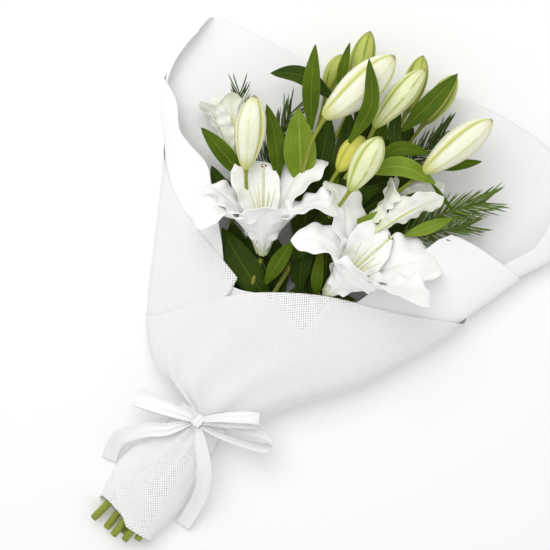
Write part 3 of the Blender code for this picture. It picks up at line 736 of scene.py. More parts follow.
@dataclass
class Wrap:
    """Burlap outside and two smooth sheets inside, all nested on one flattened cone."""

    # stations: place along the bunch, left edge, right edge, underside and crown, in metres.
    # creases: angle in degrees, depth, half width in degrees and length.
    sheet: float = 0.0009
    gap: float = 0.0015
    burlap_share: float = 0.7
    paper_share: float = 0.5
    paper_foot: float = -0.205
    splay: float = -0.115
    waist: float = -0.171
    stations: tuple[tuple[float, float, float, float, float], ...] = (
        (-0.316, -0.030, 0.047, 0.000, 0.030),
        (-0.270, -0.035, 0.054, 0.000, 0.036),
        (-0.215, -0.024, 0.050, 0.000, 0.040),
        (-0.180, -0.016, 0.044, 0.003, 0.043),
        (-0.163, -0.016, 0.044, 0.003, 0.044),
        (-0.150, -0.060, 0.058, 0.001, 0.050),
        (-0.132, -0.085, 0.070, 0.000, 0.055),
        (-0.100, -0.110, 0.091, 0.000, 0.059),
        (-0.042, -0.142, 0.136, 0.000, 0.063),
        (0.010, -0.170, 0.163, 0.000, 0.064),
        (0.053, -0.195, 0.183, 0.000, 0.063),
        (0.094, -0.230, 0.198, 0.000, 0.060),
        (0.130, -0.247, 0.211, 0.000, 0.056),
        (0.166, -0.250, 0.224, 0.000, 0.050),
        (0.205, -0.244, 0.242, 0.000, 0.044),
        (0.264, -0.236, 0.234, 0.000, 0.038),
        (0.306, -0.230, 0.230, 0.000, 0.034),
    )
    fold_height: float = 0.38
    thread_lean: float = 35.0
    creases: tuple[tuple[float, float, float, float], ...] = (
        (104.0, 0.0065, 5.0, 0.050), (74.0, 0.0060, 6.0, 0.042), (128.0, 0.0035, 6.0, 0.060),
        (48.0, 0.0052, 6.0, 0.050))

    PLEATS = 5.5
    WRINKLES = 13
    PLEAT_HEIGHT = 0.0024
    BROAD_HEIGHT = 0.0012
    REACH_ABOVE = 0.085
    REACH_BELOW = 0.055
    TIE_REACH = 0.010

    @property
    def pitch(self) -> float:
        """From one sheet's face to the same face of the next."""
        return self.sheet + self.gap

    def section(self, y: Array) -> tuple[Array, Array, Array, Array]:
        """Left edge, right edge, underside and crown of the wrap's section."""
        left, right, under, crown = (smooth([(s[0], s[k]) for s in self.stations], y)
                                     for k in range(1, 5))
        return left, right, np.maximum(under, 0.0), crown

    def pleats(self, turn: Array, y: Array) -> Array:
        """How far the gathered folds rise over the even skin, by angle and place."""
        reach = np.where(y > self.waist, self.REACH_ABOVE, self.REACH_BELOW)
        away = 1 - np.exp(-((y - self.waist) / self.TIE_REACH) ** 2)
        near = np.exp(-((y - self.waist) / reach) ** 2) * away
        ridges = 1 - np.sqrt(np.sin(turn * self.PLEATS + 0.4) ** 2 + 0.06)
        ridges = ridges + 0.6 * np.sin(turn * self.WRINKLES + 2.0 + y * 25)
        broad = np.sin(turn * 3.0 + y * 14.0 + 0.5) * np.exp(-((y + 0.03) / 0.14) ** 2)
        lifted = self.PLEAT_HEIGHT * near * (ridges - 0.4) + self.BROAD_HEIGHT * broad
        for angle, depth, width, length in self.creases:
            line = np.exp(-((turn - math.radians(angle)) / math.radians(width)) ** 2)
            along = np.exp(-((y - self.waist) / length) ** 2) * away * (y > self.waist)
            lifted = lifted - depth * line * along
        return lifted

    def points(self, angle: Array, y: Array, depth: Array | float) -> Array:
        """Points of a sheet that lies depth inside the wrap's outer skin.

        Args:
            angle: degrees round the section, 0 at the right fold and 90 at the crown.
            y: place along the bunch.
            depth: distance inside the outer skin.

        Returns:
            An array of the same shape with x, y, z in its last axis.
        """
        left, right, under, crown = self.section(y)
        turn = np.radians(angle)
        half = (right - left) / 2 - depth
        low = under + depth
        high = crown - depth
        fold = low + (high - low) * self.fold_height
        rise = np.sin(turn)
        x = (left + right) / 2 + half * np.cos(turn)
        top = fold + (high - fold) * np.abs(rise) ** 0.8
        sink = np.minimum(1.0, -rise / 0.20)
        bottom = fold - (fold - low) * np.sin(np.maximum(sink, 0.0) * math.pi / 2)
        lifted = top + self.pleats(turn, y) * np.clip(rise * 3, 0, 1)
        return np.stack([x, y, np.where(rise >= 0, lifted, bottom)], axis=-1)

    def meet(self, angle: Array, edge: Keys, depth: Array) -> Array:
        """The y at which each line of a sheet meets a free edge that is given as y over x."""
        low = np.full(angle.shape, self.splay)
        high = np.full(angle.shape, 0.30)
        for _ in range(30):
            middle = (low + high) / 2
            under = middle < smooth(edge, self.points(angle, middle, depth)[..., 0])
            low = np.where(under, middle, low)
            high = np.where(under, high, middle)
        return low

    def free_edge(self, left: Keys, right: Keys, behind: Keys) -> Callable[[Array, Array], Array]:
        """The upper edge of a sheet that comes round to the front on both sides.

        Args:
            left: the edge on the front's left side, as y over x.
            right: the edge on its right side, as y over x.
            behind: the edge on the underside, as y over angle.

        Returns:
            The edge's y over angle and depth.
        """
        def top(angle: Array, deep: Array) -> Array:
            over_left = self.meet(np.minimum(angle, 180.0), left, deep)
            over_right = self.meet(np.maximum(angle, 360.0), right, deep)
            rest = np.where(angle < 360, smooth(behind, angle), over_right)
            return np.where(angle <= 180, over_left, rest)
        return top

    def lay(self, name: str, angles: tuple[Callable[[Array], Array], Callable[[Array], Array]],
            bottom: Callable[[Array], Array], top: Callable[[Array, Array], Array],
            depth: Callable[[Array], Array], counts: tuple[int, int]) -> bpy.types.Object:
        """A sheet between two free edges, as a grid with its UV map in metres.

        Args:
            name: the piece's name.
            angles: the first and the last angle over the place along the bunch.
            bottom: the y of the sheet's lower edge over angle.
            top: the y of its upper edge over angle and depth.
            depth: how deep it lies over angle.
            counts: points round and along.

        Returns:
            The sheet, without its thickness.
        """
        around, along = counts
        share = np.linspace(0, 1, around)
        spread = np.linspace(0, 1, along)[:, None]
        first = angles[0](np.array([0.0]))[0]
        last = angles[1](np.array([0.0]))[0]
        angle = first + (last - first) * share
        deep = depth(angle)
        ends = top(angle, deep)
        starts = bottom(angle)
        y = starts[None, :] + (ends - starts)[None, :] * spread
        turn = angles[0](y) + (angles[1](y) - angles[0](y)) * share[None, :]
        rows = self.points(turn, y, depth(turn))
        log.info("%s: %.4f m2 of cloth", name, self.area(rows))
        return Bench.cloth(name, rows, chart=self.chart(rows, angle))

    def chart(self, rows: Array, angle: Array) -> Array:
        """Where each point of a sheet lies on the flat cloth, in metres along its threads."""
        steps = np.linalg.norm(np.diff(rows, axis=1), axis=2)
        girth = np.concatenate([np.zeros((len(rows), 1)), np.cumsum(steps, axis=1)], axis=1)
        crowns = [int(np.abs(angle - crown).argmin()) for crown in (90.0, 450.0)]
        flat = [rows[:, c:c + 1, 0] + girth[:, c:c + 1] - girth for c in crowns]
        across = np.where(angle[None, :] < 270, flat[0], flat[1])
        lean = math.radians(self.thread_lean)
        up = rows[..., 1]
        return np.stack([across * math.cos(lean) + up * math.sin(lean),
                         up * math.cos(lean) - across * math.sin(lean)], axis=-1)

    @staticmethod
    def area(rows: Array) -> float:
        """The area of a grid of points."""
        a = rows[1:, :-1] - rows[:-1, :-1]
        b = rows[:-1, 1:] - rows[:-1, :-1]
        return float(np.linalg.norm(np.cross(a, b), axis=-1).sum())

    def build(self, palette: Palette) -> None:
        self.build_burlap(palette)
        self.build_inner_paper(palette)
        self.build_back_paper(palette)

    def build_burlap(self, palette: Palette) -> None:
        """The outer mesh; its right side folds over and covers its left edge."""
        left_panel = ((-0.195, 0.055), (-0.180, 0.040), (-0.153, 0.020), (-0.116, 0.005),
                      (-0.066, -0.009), (-0.021, -0.022))
        front = ((-0.110, -0.108), (-0.093, -0.103), (-0.057, -0.058), (-0.019, -0.020),
                 (0.045, 0.021), (0.118, 0.050), (0.154, 0.066), (0.199, 0.088))
        underside = ((180, 0.055), (225, 0.110), (270, 0.150), (315, 0.130), (360, 0.088))

        def depth(angle: Array) -> Array:
            return smooth(((185, self.pitch), (240, 0.0)), angle)

        def bottom(angle: Array) -> Array:
            return -0.316 + 0.012 * np.exp(-((angle - 190) / 60) ** 2)

        angles = (lambda y: smooth(((-0.316, 50.0), (-0.260, 105.0)), y),
                  lambda y: smooth(((-0.316, 440.0), (-0.285, 500.0), (-0.262, 530.0)), y))
        top = self.free_edge(left_panel, front, underside)
        obj = self.lay("burlap_mesh", angles, bottom, top, depth, (250, 170))
        Bench.thicken(obj, self.sheet * self.burlap_share)
        Bench.finish(obj, palette.burlap, "burlap", ["burlap_wrap"])

    def build_inner_paper(self, palette: Palette) -> None:
        """The smooth sheet inside the burlap, rolled over the front on both sides."""
        left_roll = ((-0.245, 0.122), (-0.211, 0.106), (-0.191, 0.083), (-0.172, 0.075),
                     (-0.141, 0.067), (-0.126, 0.053), (-0.082, 0.010), (-0.046, -0.026),
                     (-0.001, -0.014), (0.062, -0.028), (0.110, -0.060))
        right_flap = ((0.050, -0.040), (0.074, 0.018), (0.094, 0.075), (0.112, 0.135),
                      (0.122, 0.158), (0.198, 0.166), (0.222, 0.164))
        underside = ((180, 0.122), (225, 0.180), (270, 0.220), (315, 0.200), (360, 0.164))

        def depth(angle: Array) -> Array:
            even = 2 * self.pitch
            keys = ((100, even + 0.0009), (150, even), (395, even), (420, even - 0.0007))
            return smooth(keys, angle)

        obj = self.lay("inner_paper", (constant(48.0), constant(435.0)), constant(self.paper_foot),
                       self.free_edge(left_roll, right_flap, underside), depth, (230, 140))
        Bench.thicken(obj, self.sheet * self.paper_share)
        Bench.finish(obj, palette.paper, "paper", ["inner_paper_sheet"])

    def build_back_paper(self, palette: Palette) -> None:
        """The sheet under the flowers, standing at the left and turned over at its right corner."""
        edge = ((172, 0.186), (180, 0.205), (246, 0.237), (283, 0.296), (314, 0.306), (345, 0.280),
                (360, 0.264), (400, 0.256))
        obj = self.lay("back_paper", (constant(170.0), constant(386.0)), constant(self.paper_foot),
                       lambda angle, _: smooth(edge, angle), constant(3 * self.pitch), (190, 150))
        Bench.thicken(obj, self.sheet * self.paper_share)
        Bench.finish(obj, palette.back_paper, "paper", ["back_paper_sheet"])


# ---- ribbon ------------------------------------------------------------------

@dataclass
class Ribbon:
    """The satin bow: a turn round the waist, a knot, three loops and two tails."""

    wrap: Wrap
    width: float = 0.017
    thickness: float = 0.0006
    knot: Point = (0.013, -0.170, 0.0515)
    knot_half: Point = (0.0054, 0.0080, 0.0050)
    flute: float = 0.0011
    cup: float = 0.09

    COLUMNS = 21
    WEAVE_LENGTH = 0.10
    # How a loop's line goes out and back: share of its reach and height in shares of its rise.
    LOOP = ((0.0, 0.22), (0.12, 0.60), (0.35, 0.98), (0.62, 1.05), (0.88, 0.85), (1.0, 0.05),
            (0.90, -0.85), (0.62, -0.95), (0.32, -0.75), (0.10, -0.38), (0.0, -0.15))
    LOOP_WIDTHS = ((0, 0.34), (0.14, 0.62), (0.34, 0.95), (0.5, 1.0), (0.66, 0.95), (0.86, 0.62),
                   (1, 0.34))
    TAIL_WIDTHS = ((0, 0.36), (0.16, 0.75), (0.4, 1.0), (1, 1.02))
    # Each loop: side, start from the knot, end, rise, width in ribbon widths, and roll in degrees.
    LOOPS = (("left", (-5, -1, 0), (-59, -190, 38), 11, 1.18, -10),
             ("upper_right", (5, 4, 2), (67, -130, 60), 10, 0.95, 38),
             ("lower_right", (5.5, -2, -2), (95, -146, 40), 19, 0.90, 56))
    # Each tail: side, start from the knot, the points it runs through, and roll halfway.
    TAILS = (("left", (-6, -6, -4), ((-10, -198, 46), (-30, -214, 40), (-46, -236, 24),
                                     (-48, -254, 10), (-44, -270, 3.5)), -6),
             ("right", (4, -6, -2), ((30, -190, 50), (50, -212, 45), (62, -236, 33),
                                     (66, -262, 16), (67, -284, 4)), 8))

    def strip(self, name: str, line: Sequence[Point], widths: Keys, lean: Keys, sides: Array | None,
              count: int) -> bpy.types.Object:
        """A length of ribbon along a line.

        Args:
            name: the piece's name.
            line: points that its middle passes through.
            widths: its width over the share of its length.
            lean: degrees that it turns about its own line, over the same share.
            sides: the direction across it, or None for level across the line.
            count: points along it.

        Returns:
            The ribbon as a thin closed mesh.
        """
        path = path_through(line, count)
        direction = headings(path)
        across, lift = sides_and_lifts(direction)
        if sides is not None:
            across = np.broadcast_to(sides, across.shape)
            lift = unit(np.cross(across, direction))
        share = np.linspace(0, 1, count)
        span, rise = rolled(across, lift, smooth(lean, share))
        t = np.linspace(-1, 1, self.COLUMNS)[None, :, None]
        half = smooth(widths, share)[:, None, None] / 2
        pinch = 1.0 - half * 2 / self.width
        folds = np.cos(t * 7.5) * self.flute * np.clip(pinch * 2.2, 0, 1)
        folds = folds + 0.0003 * np.sin(t * 5.0 + share[:, None, None] * 7)
        cup = self.cup * half * (t ** 2) + folds
        rows = path[:, None, :] + span[:, None, :] * half * t + rise[:, None, :] * cup
        length = float(np.linalg.norm(np.diff(path, axis=0), axis=1).sum())
        obj = Bench.cloth(name, rows, (1.0, length / self.WEAVE_LENGTH))
        Bench.thicken(obj, self.thickness)
        return obj

    def loop(self, name: str, start: Point, end: Point, rise: float, width: float,
             tilt: float) -> bpy.types.Object:
        """A bow loop: out from the knot, round its end and back.

        Args:
            name: the piece's name.
            start: where it leaves the knot.
            end: how far it reaches.
            rise: how far its two layers stand apart.
            width: the ribbon's width at the loop's end.
            tilt: degrees that the loop rolls about its own length.

        Returns:
            The loop as a thin closed mesh.
        """
        out = np.array(end) - np.array(start)
        level = unit(np.cross(np.array([out[0], out[1], 0.0]), np.array([0.0, 0.0, 1.0])))
        high = unit(np.cross(level, out))
        roll = math.radians(tilt)
        side = level * math.cos(roll) + high * math.sin(roll)
        face = high * math.cos(roll) - level * math.sin(roll)
        line = [tuple(np.array(start) + out * t + face * (rise / 2 * h)) for t, h in self.LOOP]
        widths = [(at, width * share) for at, share in self.LOOP_WIDTHS]
        return self.strip(name, line, widths, ((0, 0.0), (1, 0.0)), side, 120)

    def build(self, palette: Palette) -> None:
        """Make and dress the whole bow."""
        angle = np.linspace(0, 360, 121)[None, :]
        levels = (self.wrap.waist + np.linspace(-0.0065, 0.0065, 9))[:, None]
        crumple = 0.0004 * np.sin(levels * 2200)
        rows = self.wrap.points(angle + levels * 0, levels + angle * 0, -0.0013 + crumple)
        band = Bench.cloth("ribbon_turn", rows.transpose(1, 0, 2), (1.0, 1.7))
        Bench.edit(band, lambda: bpy.ops.mesh.remove_doubles(threshold=1e-6))
        Bench.thicken(band, self.thickness)
        Bench.finish(band, palette.ribbon, "ribbon", ["ribbon_band"])
        Bench.finish(self.build_knot(), palette.ribbon, "ribbon", ["ribbon_knot"])
        for side, shift, end, rise, share, roll in self.LOOPS:
            obj = self.loop(f"bow_loop_{side}", self.from_knot(shift), *metres([end]), rise / 1000,
                            self.width * share, roll)
            Bench.finish(obj, palette.ribbon, "ribbon", [f"ribbon_loop_{side}"])
        widths = [(at, self.width * share) for at, share in self.TAIL_WIDTHS]
        for side, shift, points, roll in self.TAILS:
            line = [self.from_knot(shift), *metres(points)]
            obj = self.strip(f"bow_tail_{side}", line, widths, ((0, 0.0), (0.5, roll), (1, 0.0)),
                             None, 70)
            Bench.finish(obj, palette.ribbon, "ribbon", [f"ribbon_tail_{side}"])

    def from_knot(self, shift: Point) -> Point:
        """The place that lies so many millimetres from the knot's middle."""
        return tuple(np.array(self.knot) + np.array(shift) / 1000)

    def build_knot(self) -> bpy.types.Object:
        """The knot: a puffed block of ribbon with the pleats of a pulled turn."""
        turn = np.linspace(0, math.tau, 65)[:, None]
        lean = np.linspace(-math.pi / 2, math.pi / 2, 41)[None, :]
        c, k = np.abs(np.cos(lean)) ** 0.42, np.sin(lean)
        half_x, half_y, half_z = self.knot_half
        x = half_x * np.sign(k) * np.abs(k) ** 0.8
        pleat = 1 + 0.06 * np.cos(k * 10.0 + 0.8) - 0.10 * (1 - k ** 2)
        y = half_y * np.sign(np.cos(turn)) * np.abs(np.cos(turn)) ** 0.55 * c * pleat
        z = half_z * np.sign(np.sin(turn)) * np.abs(np.sin(turn)) ** 0.55 * c * pleat
        rows = np.stack([x + 0 * turn + 0.10 * y, y, z], axis=-1) + np.array(self.knot)
        obj = Bench.cloth("bow_knot", rows, (1.0, 0.5))

        def weld() -> None:
            bpy.ops.mesh.remove_doubles(threshold=1e-5)
            bpy.ops.mesh.normals_make_consistent(inside=False)
        Bench.edit(obj, weld)
        return obj


# ---- stems -------------------------------------------------------------------

@dataclass
class Stems:
    """Six cut stems, tied in two rows of three, and the twine round them."""

    diameter: float = 0.0086
    slot_pitch: float = 0.0112
    slot_left: float = 0.0035
    levels: tuple[float, float] = (0.0180, 0.0288)
    steps: int = 90
    twine: float = 0.0016
    twine_pitch: float = 0.0017
    twine_turns: int = 4
    tie_place: float = -0.1515
    plan: tuple[tuple[Point, int, int, Point, Point], ...] = (
        ((-0.0204, -0.3328, 0.0120), 0, 1, (-0.008, -0.080, 0.036), (-0.0330, 0.0160, 0.0440)),
        ((-0.0022, -0.3339, 0.0100), 0, 0, (-0.024, -0.080, 0.020), (-0.1020, 0.0640, 0.0190)),
        ((0.0088, -0.3346, 0.0170), 1, 1, (0.006, -0.080, 0.030), (-0.0060, 0.0900, 0.0330)),
        ((0.0156, -0.3285, 0.0062), 1, 0, (0.016, -0.080, 0.019), (0.0300, 0.1050, 0.0180)),
        ((0.0223, -0.3321, 0.0170), 2, 1, (0.034, -0.080, 0.036), (0.0490, 0.0180, 0.0440)),
        ((0.0340, -0.3235, 0.0160), 2, 0, (0.040, -0.080, 0.022), (0.0650, 0.0900, 0.0240)),
    )

    def build(self, palette: Palette) -> None:
        """Make the stems with their cut ends, and the tie."""
        for number, (cut, column, level, way, head) in enumerate(self.plan, 1):
            x = self.slot_left + self.slot_pitch * column
            z = self.levels[level]
            bend = (cut[0] * 0.55 + x * 0.45, -0.270, cut[2] * 0.5 + z * 0.5)
            line = [cut, bend, (x, -0.205, z), (x, -0.172, z), (x, -0.138, z), way, head]
            path = path_through(line, self.steps)
            share = np.linspace(0, 1, self.steps)
            radii = self.diameter / 2 * (1 + 0.03 * np.sin(share * 31 + number) - 0.34 * share)
            radii[0] *= 0.93
            obj = Bench.tube(f"stem_{number}", path, radii, 20, (1.0, 5.0), material=palette.stem)
            obj.data.materials.append(palette.cut)
            for face in obj.data.polygons:
                if len(face.vertices) > 4 and face.center.y < -0.3:
                    face.material_index = 1
            Bench.finish(obj, palette.stem, "stem", [f"lily_stem_{number}"])
        self.build_tie(palette)

    def build_tie(self, palette: Palette) -> None:
        """Four turns of twine round the tied stems."""
        radius = self.diameter / 2 + self.twine_pitch
        left, right = self.slot_left, self.slot_left + 2 * self.slot_pitch
        low, high = self.levels
        corners = ((right, high, 0), (left, high, 90), (left, low, 180), (right, low, 270))
        outline = [(x + radius * math.cos(math.radians(a)), z + radius * math.sin(math.radians(a)))
                   for x, z, start in corners for a in np.linspace(start, start + 90, 7)]
        outline.append(outline[0])
        radii = np.full(120, self.twine / 2)
        turns = []
        for k in range(self.twine_turns):
            line = [(x, self.tie_place + self.twine_pitch * k, z) for x, z in outline]
            path = path_through(line, len(radii))
            turns.append(Bench.tube(f"twine_{k}", path, radii, 8, (0.05, 1.0)))
        Bench.finish(Bench.join("twine_tie", turns), palette.twine, "twine", ["stem_tie"])


# ---- flowers -----------------------------------------------------------------

@dataclass(frozen=True)
class Tepal:
    """One tepal: its side of the flower, its width and the line that its middle follows.

    The line's points are distance from the flower's axis and height along it. All in millimetres.
    """

    azimuth: float
    outer: int
    width: float
    line: tuple[tuple[float, float], ...]
    ruffle: float = 2.4


@dataclass
class Lily:
    """An open lily: its foot in millimetres, the way it looks, its tepals and its pistil."""

    letter: str
    foot: Point
    heading: float
    pitch: float
    tepals: tuple[Tepal, ...]
    has_pistil: bool = True
    style: float = 104
    young: bool = False

    ROWS = 64
    COLUMNS = 35
    THICKNESS = 0.0009
    WHORL_GAP = 0.0024
    FILAMENTS = 6
    LONG_WAVES = 2.6
    SHORT_WAVES = 6.3
    RUFFLE_SCALE = 1.25
    RIPPLE = 0.0010
    CUP = 0.24
    CURL = 0.16
    MIDRIB = 0.0012
    SHAPE = ((0.0, 0.16), (0.12, 0.24), (0.30, 0.52), (0.48, 0.84), (0.64, 1.0), (0.80, 0.90),
             (0.92, 0.56), (0.975, 0.26), (1.0, 0.03))

    def axes(self) -> tuple[Array, Array, Array, Array]:
        """Foot, axis, direction to the upper side and direction to the right."""
        turn, rise = math.radians(self.heading), math.radians(self.pitch)
        level_axis = np.array([-math.sin(turn), math.cos(turn), 0.0])
        axis = level_axis * math.cos(rise) + np.array([0.0, 0.0, math.sin(rise)])
        upper = unit(np.array([0.0, 0.0, 1.0]) - axis * axis[2])
        return np.array(self.foot) / 1000, axis, upper, np.cross(axis, upper)

    def tepal_rows(self, tepal: Tepal, phase: float) -> Array:
        """The middle surface of one tepal.

        Args:
            tepal: the tepal.
            phase: where its ruffle starts.

        Returns:
            Rows of points from foot to tip.
        """
        foot, axis, upper, right = self.axes()
        line = path_through(metres([(r, h, 0.0) for r, h in tepal.line]), 200)
        travel = np.concatenate([[0], np.cumsum(np.linalg.norm(np.diff(line, axis=0), axis=1))])
        s = np.linspace(0, 1, self.ROWS)
        radius = np.interp(s * travel[-1], travel, line[:, 0])
        height = np.interp(s * travel[-1], travel, line[:, 1])
        lean = np.arctan2(np.gradient(radius), np.gradient(height))
        apart = self.WHORL_GAP * tepal.outer * (1 - 0.5 * s)
        radius = radius + apart * np.cos(lean)
        height = height - apart * np.sin(lean)
        t = np.linspace(-1, 1, self.COLUMNS)[None, :]
        half = (tepal.width / 1000 / 2 * smooth(self.SHAPE, s))[:, None]
        flat = np.clip(s * 1.15 - 0.05, 0, 0.92)[:, None]
        spread = half / np.maximum(radius[:, None], half * 0.8) * t
        out = radius[:, None] * (np.cos(spread) * (1 - flat) + flat)
        over = radius[:, None] * np.sin(spread) * (1 - flat) + half * t * flat
        relief = self.relief(tepal, s, t, half, phase)
        rise = height[:, None] + relief * np.sin(lean)[:, None]
        out = out - relief * np.cos(lean)[:, None]
        turn = math.radians(tepal.azimuth)
        x = out * np.cos(turn) - over * np.sin(turn)
        y = out * np.sin(turn) + over * np.cos(turn)
        return foot + upper * x[..., None] + right * y[..., None] + axis * rise[..., None]

    @staticmethod
    def relief(tepal: Tepal, s: Array, t: Array, half: Array, phase: float) -> Array:
        """How far the surface stands to the flower's inside: ruffle, cup, midrib and twist."""
        arch = (4 * s * (1 - s))[:, None]
        along = s[:, None]
        wave = np.sin(along * math.tau * Lily.LONG_WAVES + phase)
        wave = wave + 0.8 * np.sin(along * math.tau * Lily.SHORT_WAVES + phase * 2)
        wave = wave * np.where(t > 0, 1.0, math.cos(phase))
        lift = Lily.RUFFLE_SCALE * tepal.ruffle / 1000 * wave * np.abs(t) ** 2.0 * arch ** 0.6
        bowl = Lily.CUP * np.sin(math.pi * along) - Lily.CURL * along ** 4
        lift = lift + half * bowl * t ** 2
        lift = lift + Lily.RIPPLE * np.sin(t * 7.0 + phase) * np.sin(along * 9.0 + phase) * arch
        return lift - Lily.MIDRIB * np.exp(-(t / 0.12) ** 2) * (1 - along ** 3)

    def build(self, palette: Palette) -> None:
        """Make and dress every tepal and the pistil."""
        for number, tepal in enumerate(self.tepals, 1):
            rows = self.tepal_rows(tepal, 1.7 * number + 1 + ord(self.letter))
            obj = Bench.cloth(f"lily_{self.letter}_tepal_{number}", rows)
            Bench.thicken(obj, self.THICKNESS)
            Bench.finish(obj, palette.young_tepal if self.young else palette.tepal, "tepal",
                         [f"flower_{self.letter}_tepal_{number}"])
        if self.has_pistil:
            self.build_pistil(palette)

    def build_pistil(self, palette: Palette) -> None:
        """Style with its three-lobed stigma, and six bare filaments round it."""
        foot, axis, upper, right = self.axes()
        start = foot + axis * 0.012
        end = foot + axis * (self.style / 1000) + upper * 0.006
        middle = (start + end) / 2 - upper * 0.002
        line = [tuple(start), tuple(middle), tuple(end), tuple(end + unit(end - middle) * 0.005)]
        share = np.linspace(0, 1, 60)
        radii = smooth(((0, 0.0022), (0.15, 0.0018), (0.8, 0.0015), (0.88, 0.0017), (0.93, 0.0031),
                        (0.975, 0.0035), (1.0, 0.0012)), share)
        lobes = smooth(((0.85, 0.0), (0.95, 0.35)), share)
        parts = [Bench.tube(f"lily_{self.letter}_style", path_through(line, len(share)), radii, 18,
                            lobes=lobes, material=palette.pistil)]
        thin = smooth(((0, 0.0009), (0.9, 0.0006), (1.0, 0.0002)), np.linspace(0, 1, 24))
        for k in range(self.FILAMENTS):
            a = math.radians(360 / self.FILAMENTS * k + 25)
            out = upper * math.cos(a) + right * math.sin(a)
            reach = 0.080 + 0.004 * math.sin(2.3 * k)
            apart = 0.014 + 0.003 * math.cos(1.7 * k)
            line = [tuple(start + out * 0.0028), tuple(foot + axis * 0.045 + out * 0.006),
                    tuple(foot + axis * reach + out * apart)]
            parts.append(Bench.tube(f"filament_{k}", path_through(line, len(thin)), thin, 8,
                                    material=palette.filament))
        obj = Bench.join(f"lily_{self.letter}_pistil", parts)
        Bench.finish(obj, palette.pistil, "pistil", [f"flower_{self.letter}_pistil"])


@dataclass
class Trumpet:
    """The half-open lily at the left: tepals still rolled into a tube, lips just parting."""

    foot: Point = (-109, 86, 26)
    heading: float = 50.0
    pitch: float = 9.0

    def build(self, palette: Palette) -> None:
        """Make six overlapping tepals as one piece."""
        lily = Lily("d", self.foot, self.heading, self.pitch, (), False)
        parts = []
        for k in range(6):
            flare = 4 * (k % 3)
            line = ((4, 2), (9, 24), (14, 46), (18, 66), (22 + flare, 80), (27 + flare, 86))
            tepal = Tepal(60 * k + 20, k % 2, 32 if k % 2 else 38, line, 1.6)
            part = Bench.cloth(f"lip_{k}", lily.tepal_rows(tepal, 1.3 * k))
            Bench.thicken(part, Lily.THICKNESS)
            parts.append(part)
        Bench.finish(Bench.join("opening_lily", parts), palette.young_tepal, "tepal",
                     ["half_open_lily"])


# ---- buds --------------------------------------------------------------------

@dataclass(frozen=True)
class Bud:
    """A closed bud on its stalk, in millimetres."""

    name: str
    node: str
    neck: Point
    tip: Point
    width: float
    stalk: tuple[Point, ...]
    kind: BudKind
    roll: float = 0.0
    bow: float = 0.0

    ROWS = 64
    AROUND = 48
    FACE_RISE = 0.05
    SEAM_DEPTH = 0.15
    RIB_RISE = 0.035
    SPIRAL = 0.25
    PROFILE = ((0.0, 0.20), (0.03, 0.34), (0.10, 0.52), (0.25, 0.76), (0.42, 0.95), (0.56, 1.0),
               (0.70, 0.93), (0.82, 0.75), (0.92, 0.47), (0.975, 0.22), (1.0, 0.04))

    def build(self, palette: Palette) -> None:
        """Make the bud's body and its stalk as one piece."""
        neck, tip = (np.array(point) for point in metres((self.neck, self.tip)))
        share = np.linspace(0, 1, self.ROWS)
        line = neck + (tip - neck) * share[:, None]
        across, lift = sides_and_lifts((tip - neck)[None, :])
        line = line + (across[0] * self.bow / 1000) * (4 * share * (1 - share))[:, None]
        turn = np.linspace(0, math.tau, self.AROUND + 1)[None, :]
        radius = (self.width / 1000 / 2 * smooth(self.PROFILE, share))[:, None]
        swell = (np.abs(np.sin(math.pi * share)) ** 0.6)[:, None]
        third = np.abs((turn * 3 / math.tau) % 1.0 - 0.5) * 2
        seam = np.exp(-((1 - third) / 0.16) ** 2)
        rib = np.exp(-(third / 0.14) ** 2)
        shape = self.FACE_RISE * (1 - third) - self.SEAM_DEPTH * seam + self.RIB_RISE * rib
        radius = radius * (1 + swell * shape)
        spin = turn + math.radians(self.roll) + self.SPIRAL * share[:, None]
        rows = (line[:, None, :] + across[0] * (radius * np.cos(spin))[..., None]
                + lift[0] * (radius * np.sin(spin))[..., None])
        body = Bench.cloth(self.name, rows, closed=True)
        Bench.cap(body)
        finish = palette.bud[self.kind]
        body.data.materials.append(finish)
        radii = smooth(((0, 0.0024), (0.8, 0.0021), (1.0, 0.0034)), np.linspace(0, 1, 40))
        path = path_through([*metres(self.stalk), tuple(neck + (tip - neck) * 0.03)], len(radii))
        stalk = Bench.tube(self.name + "_stalk", path, radii, 14, (1.0, 1.5), material=palette.stem)
        slot = "bud_cream" if self.kind in (BudKind.CREAM, BudKind.FRESH) else "bud_green"
        Bench.finish(Bench.join(self.name, [body, stalk]), finish, slot, [self.node])


# ---- leaves ------------------------------------------------------------------

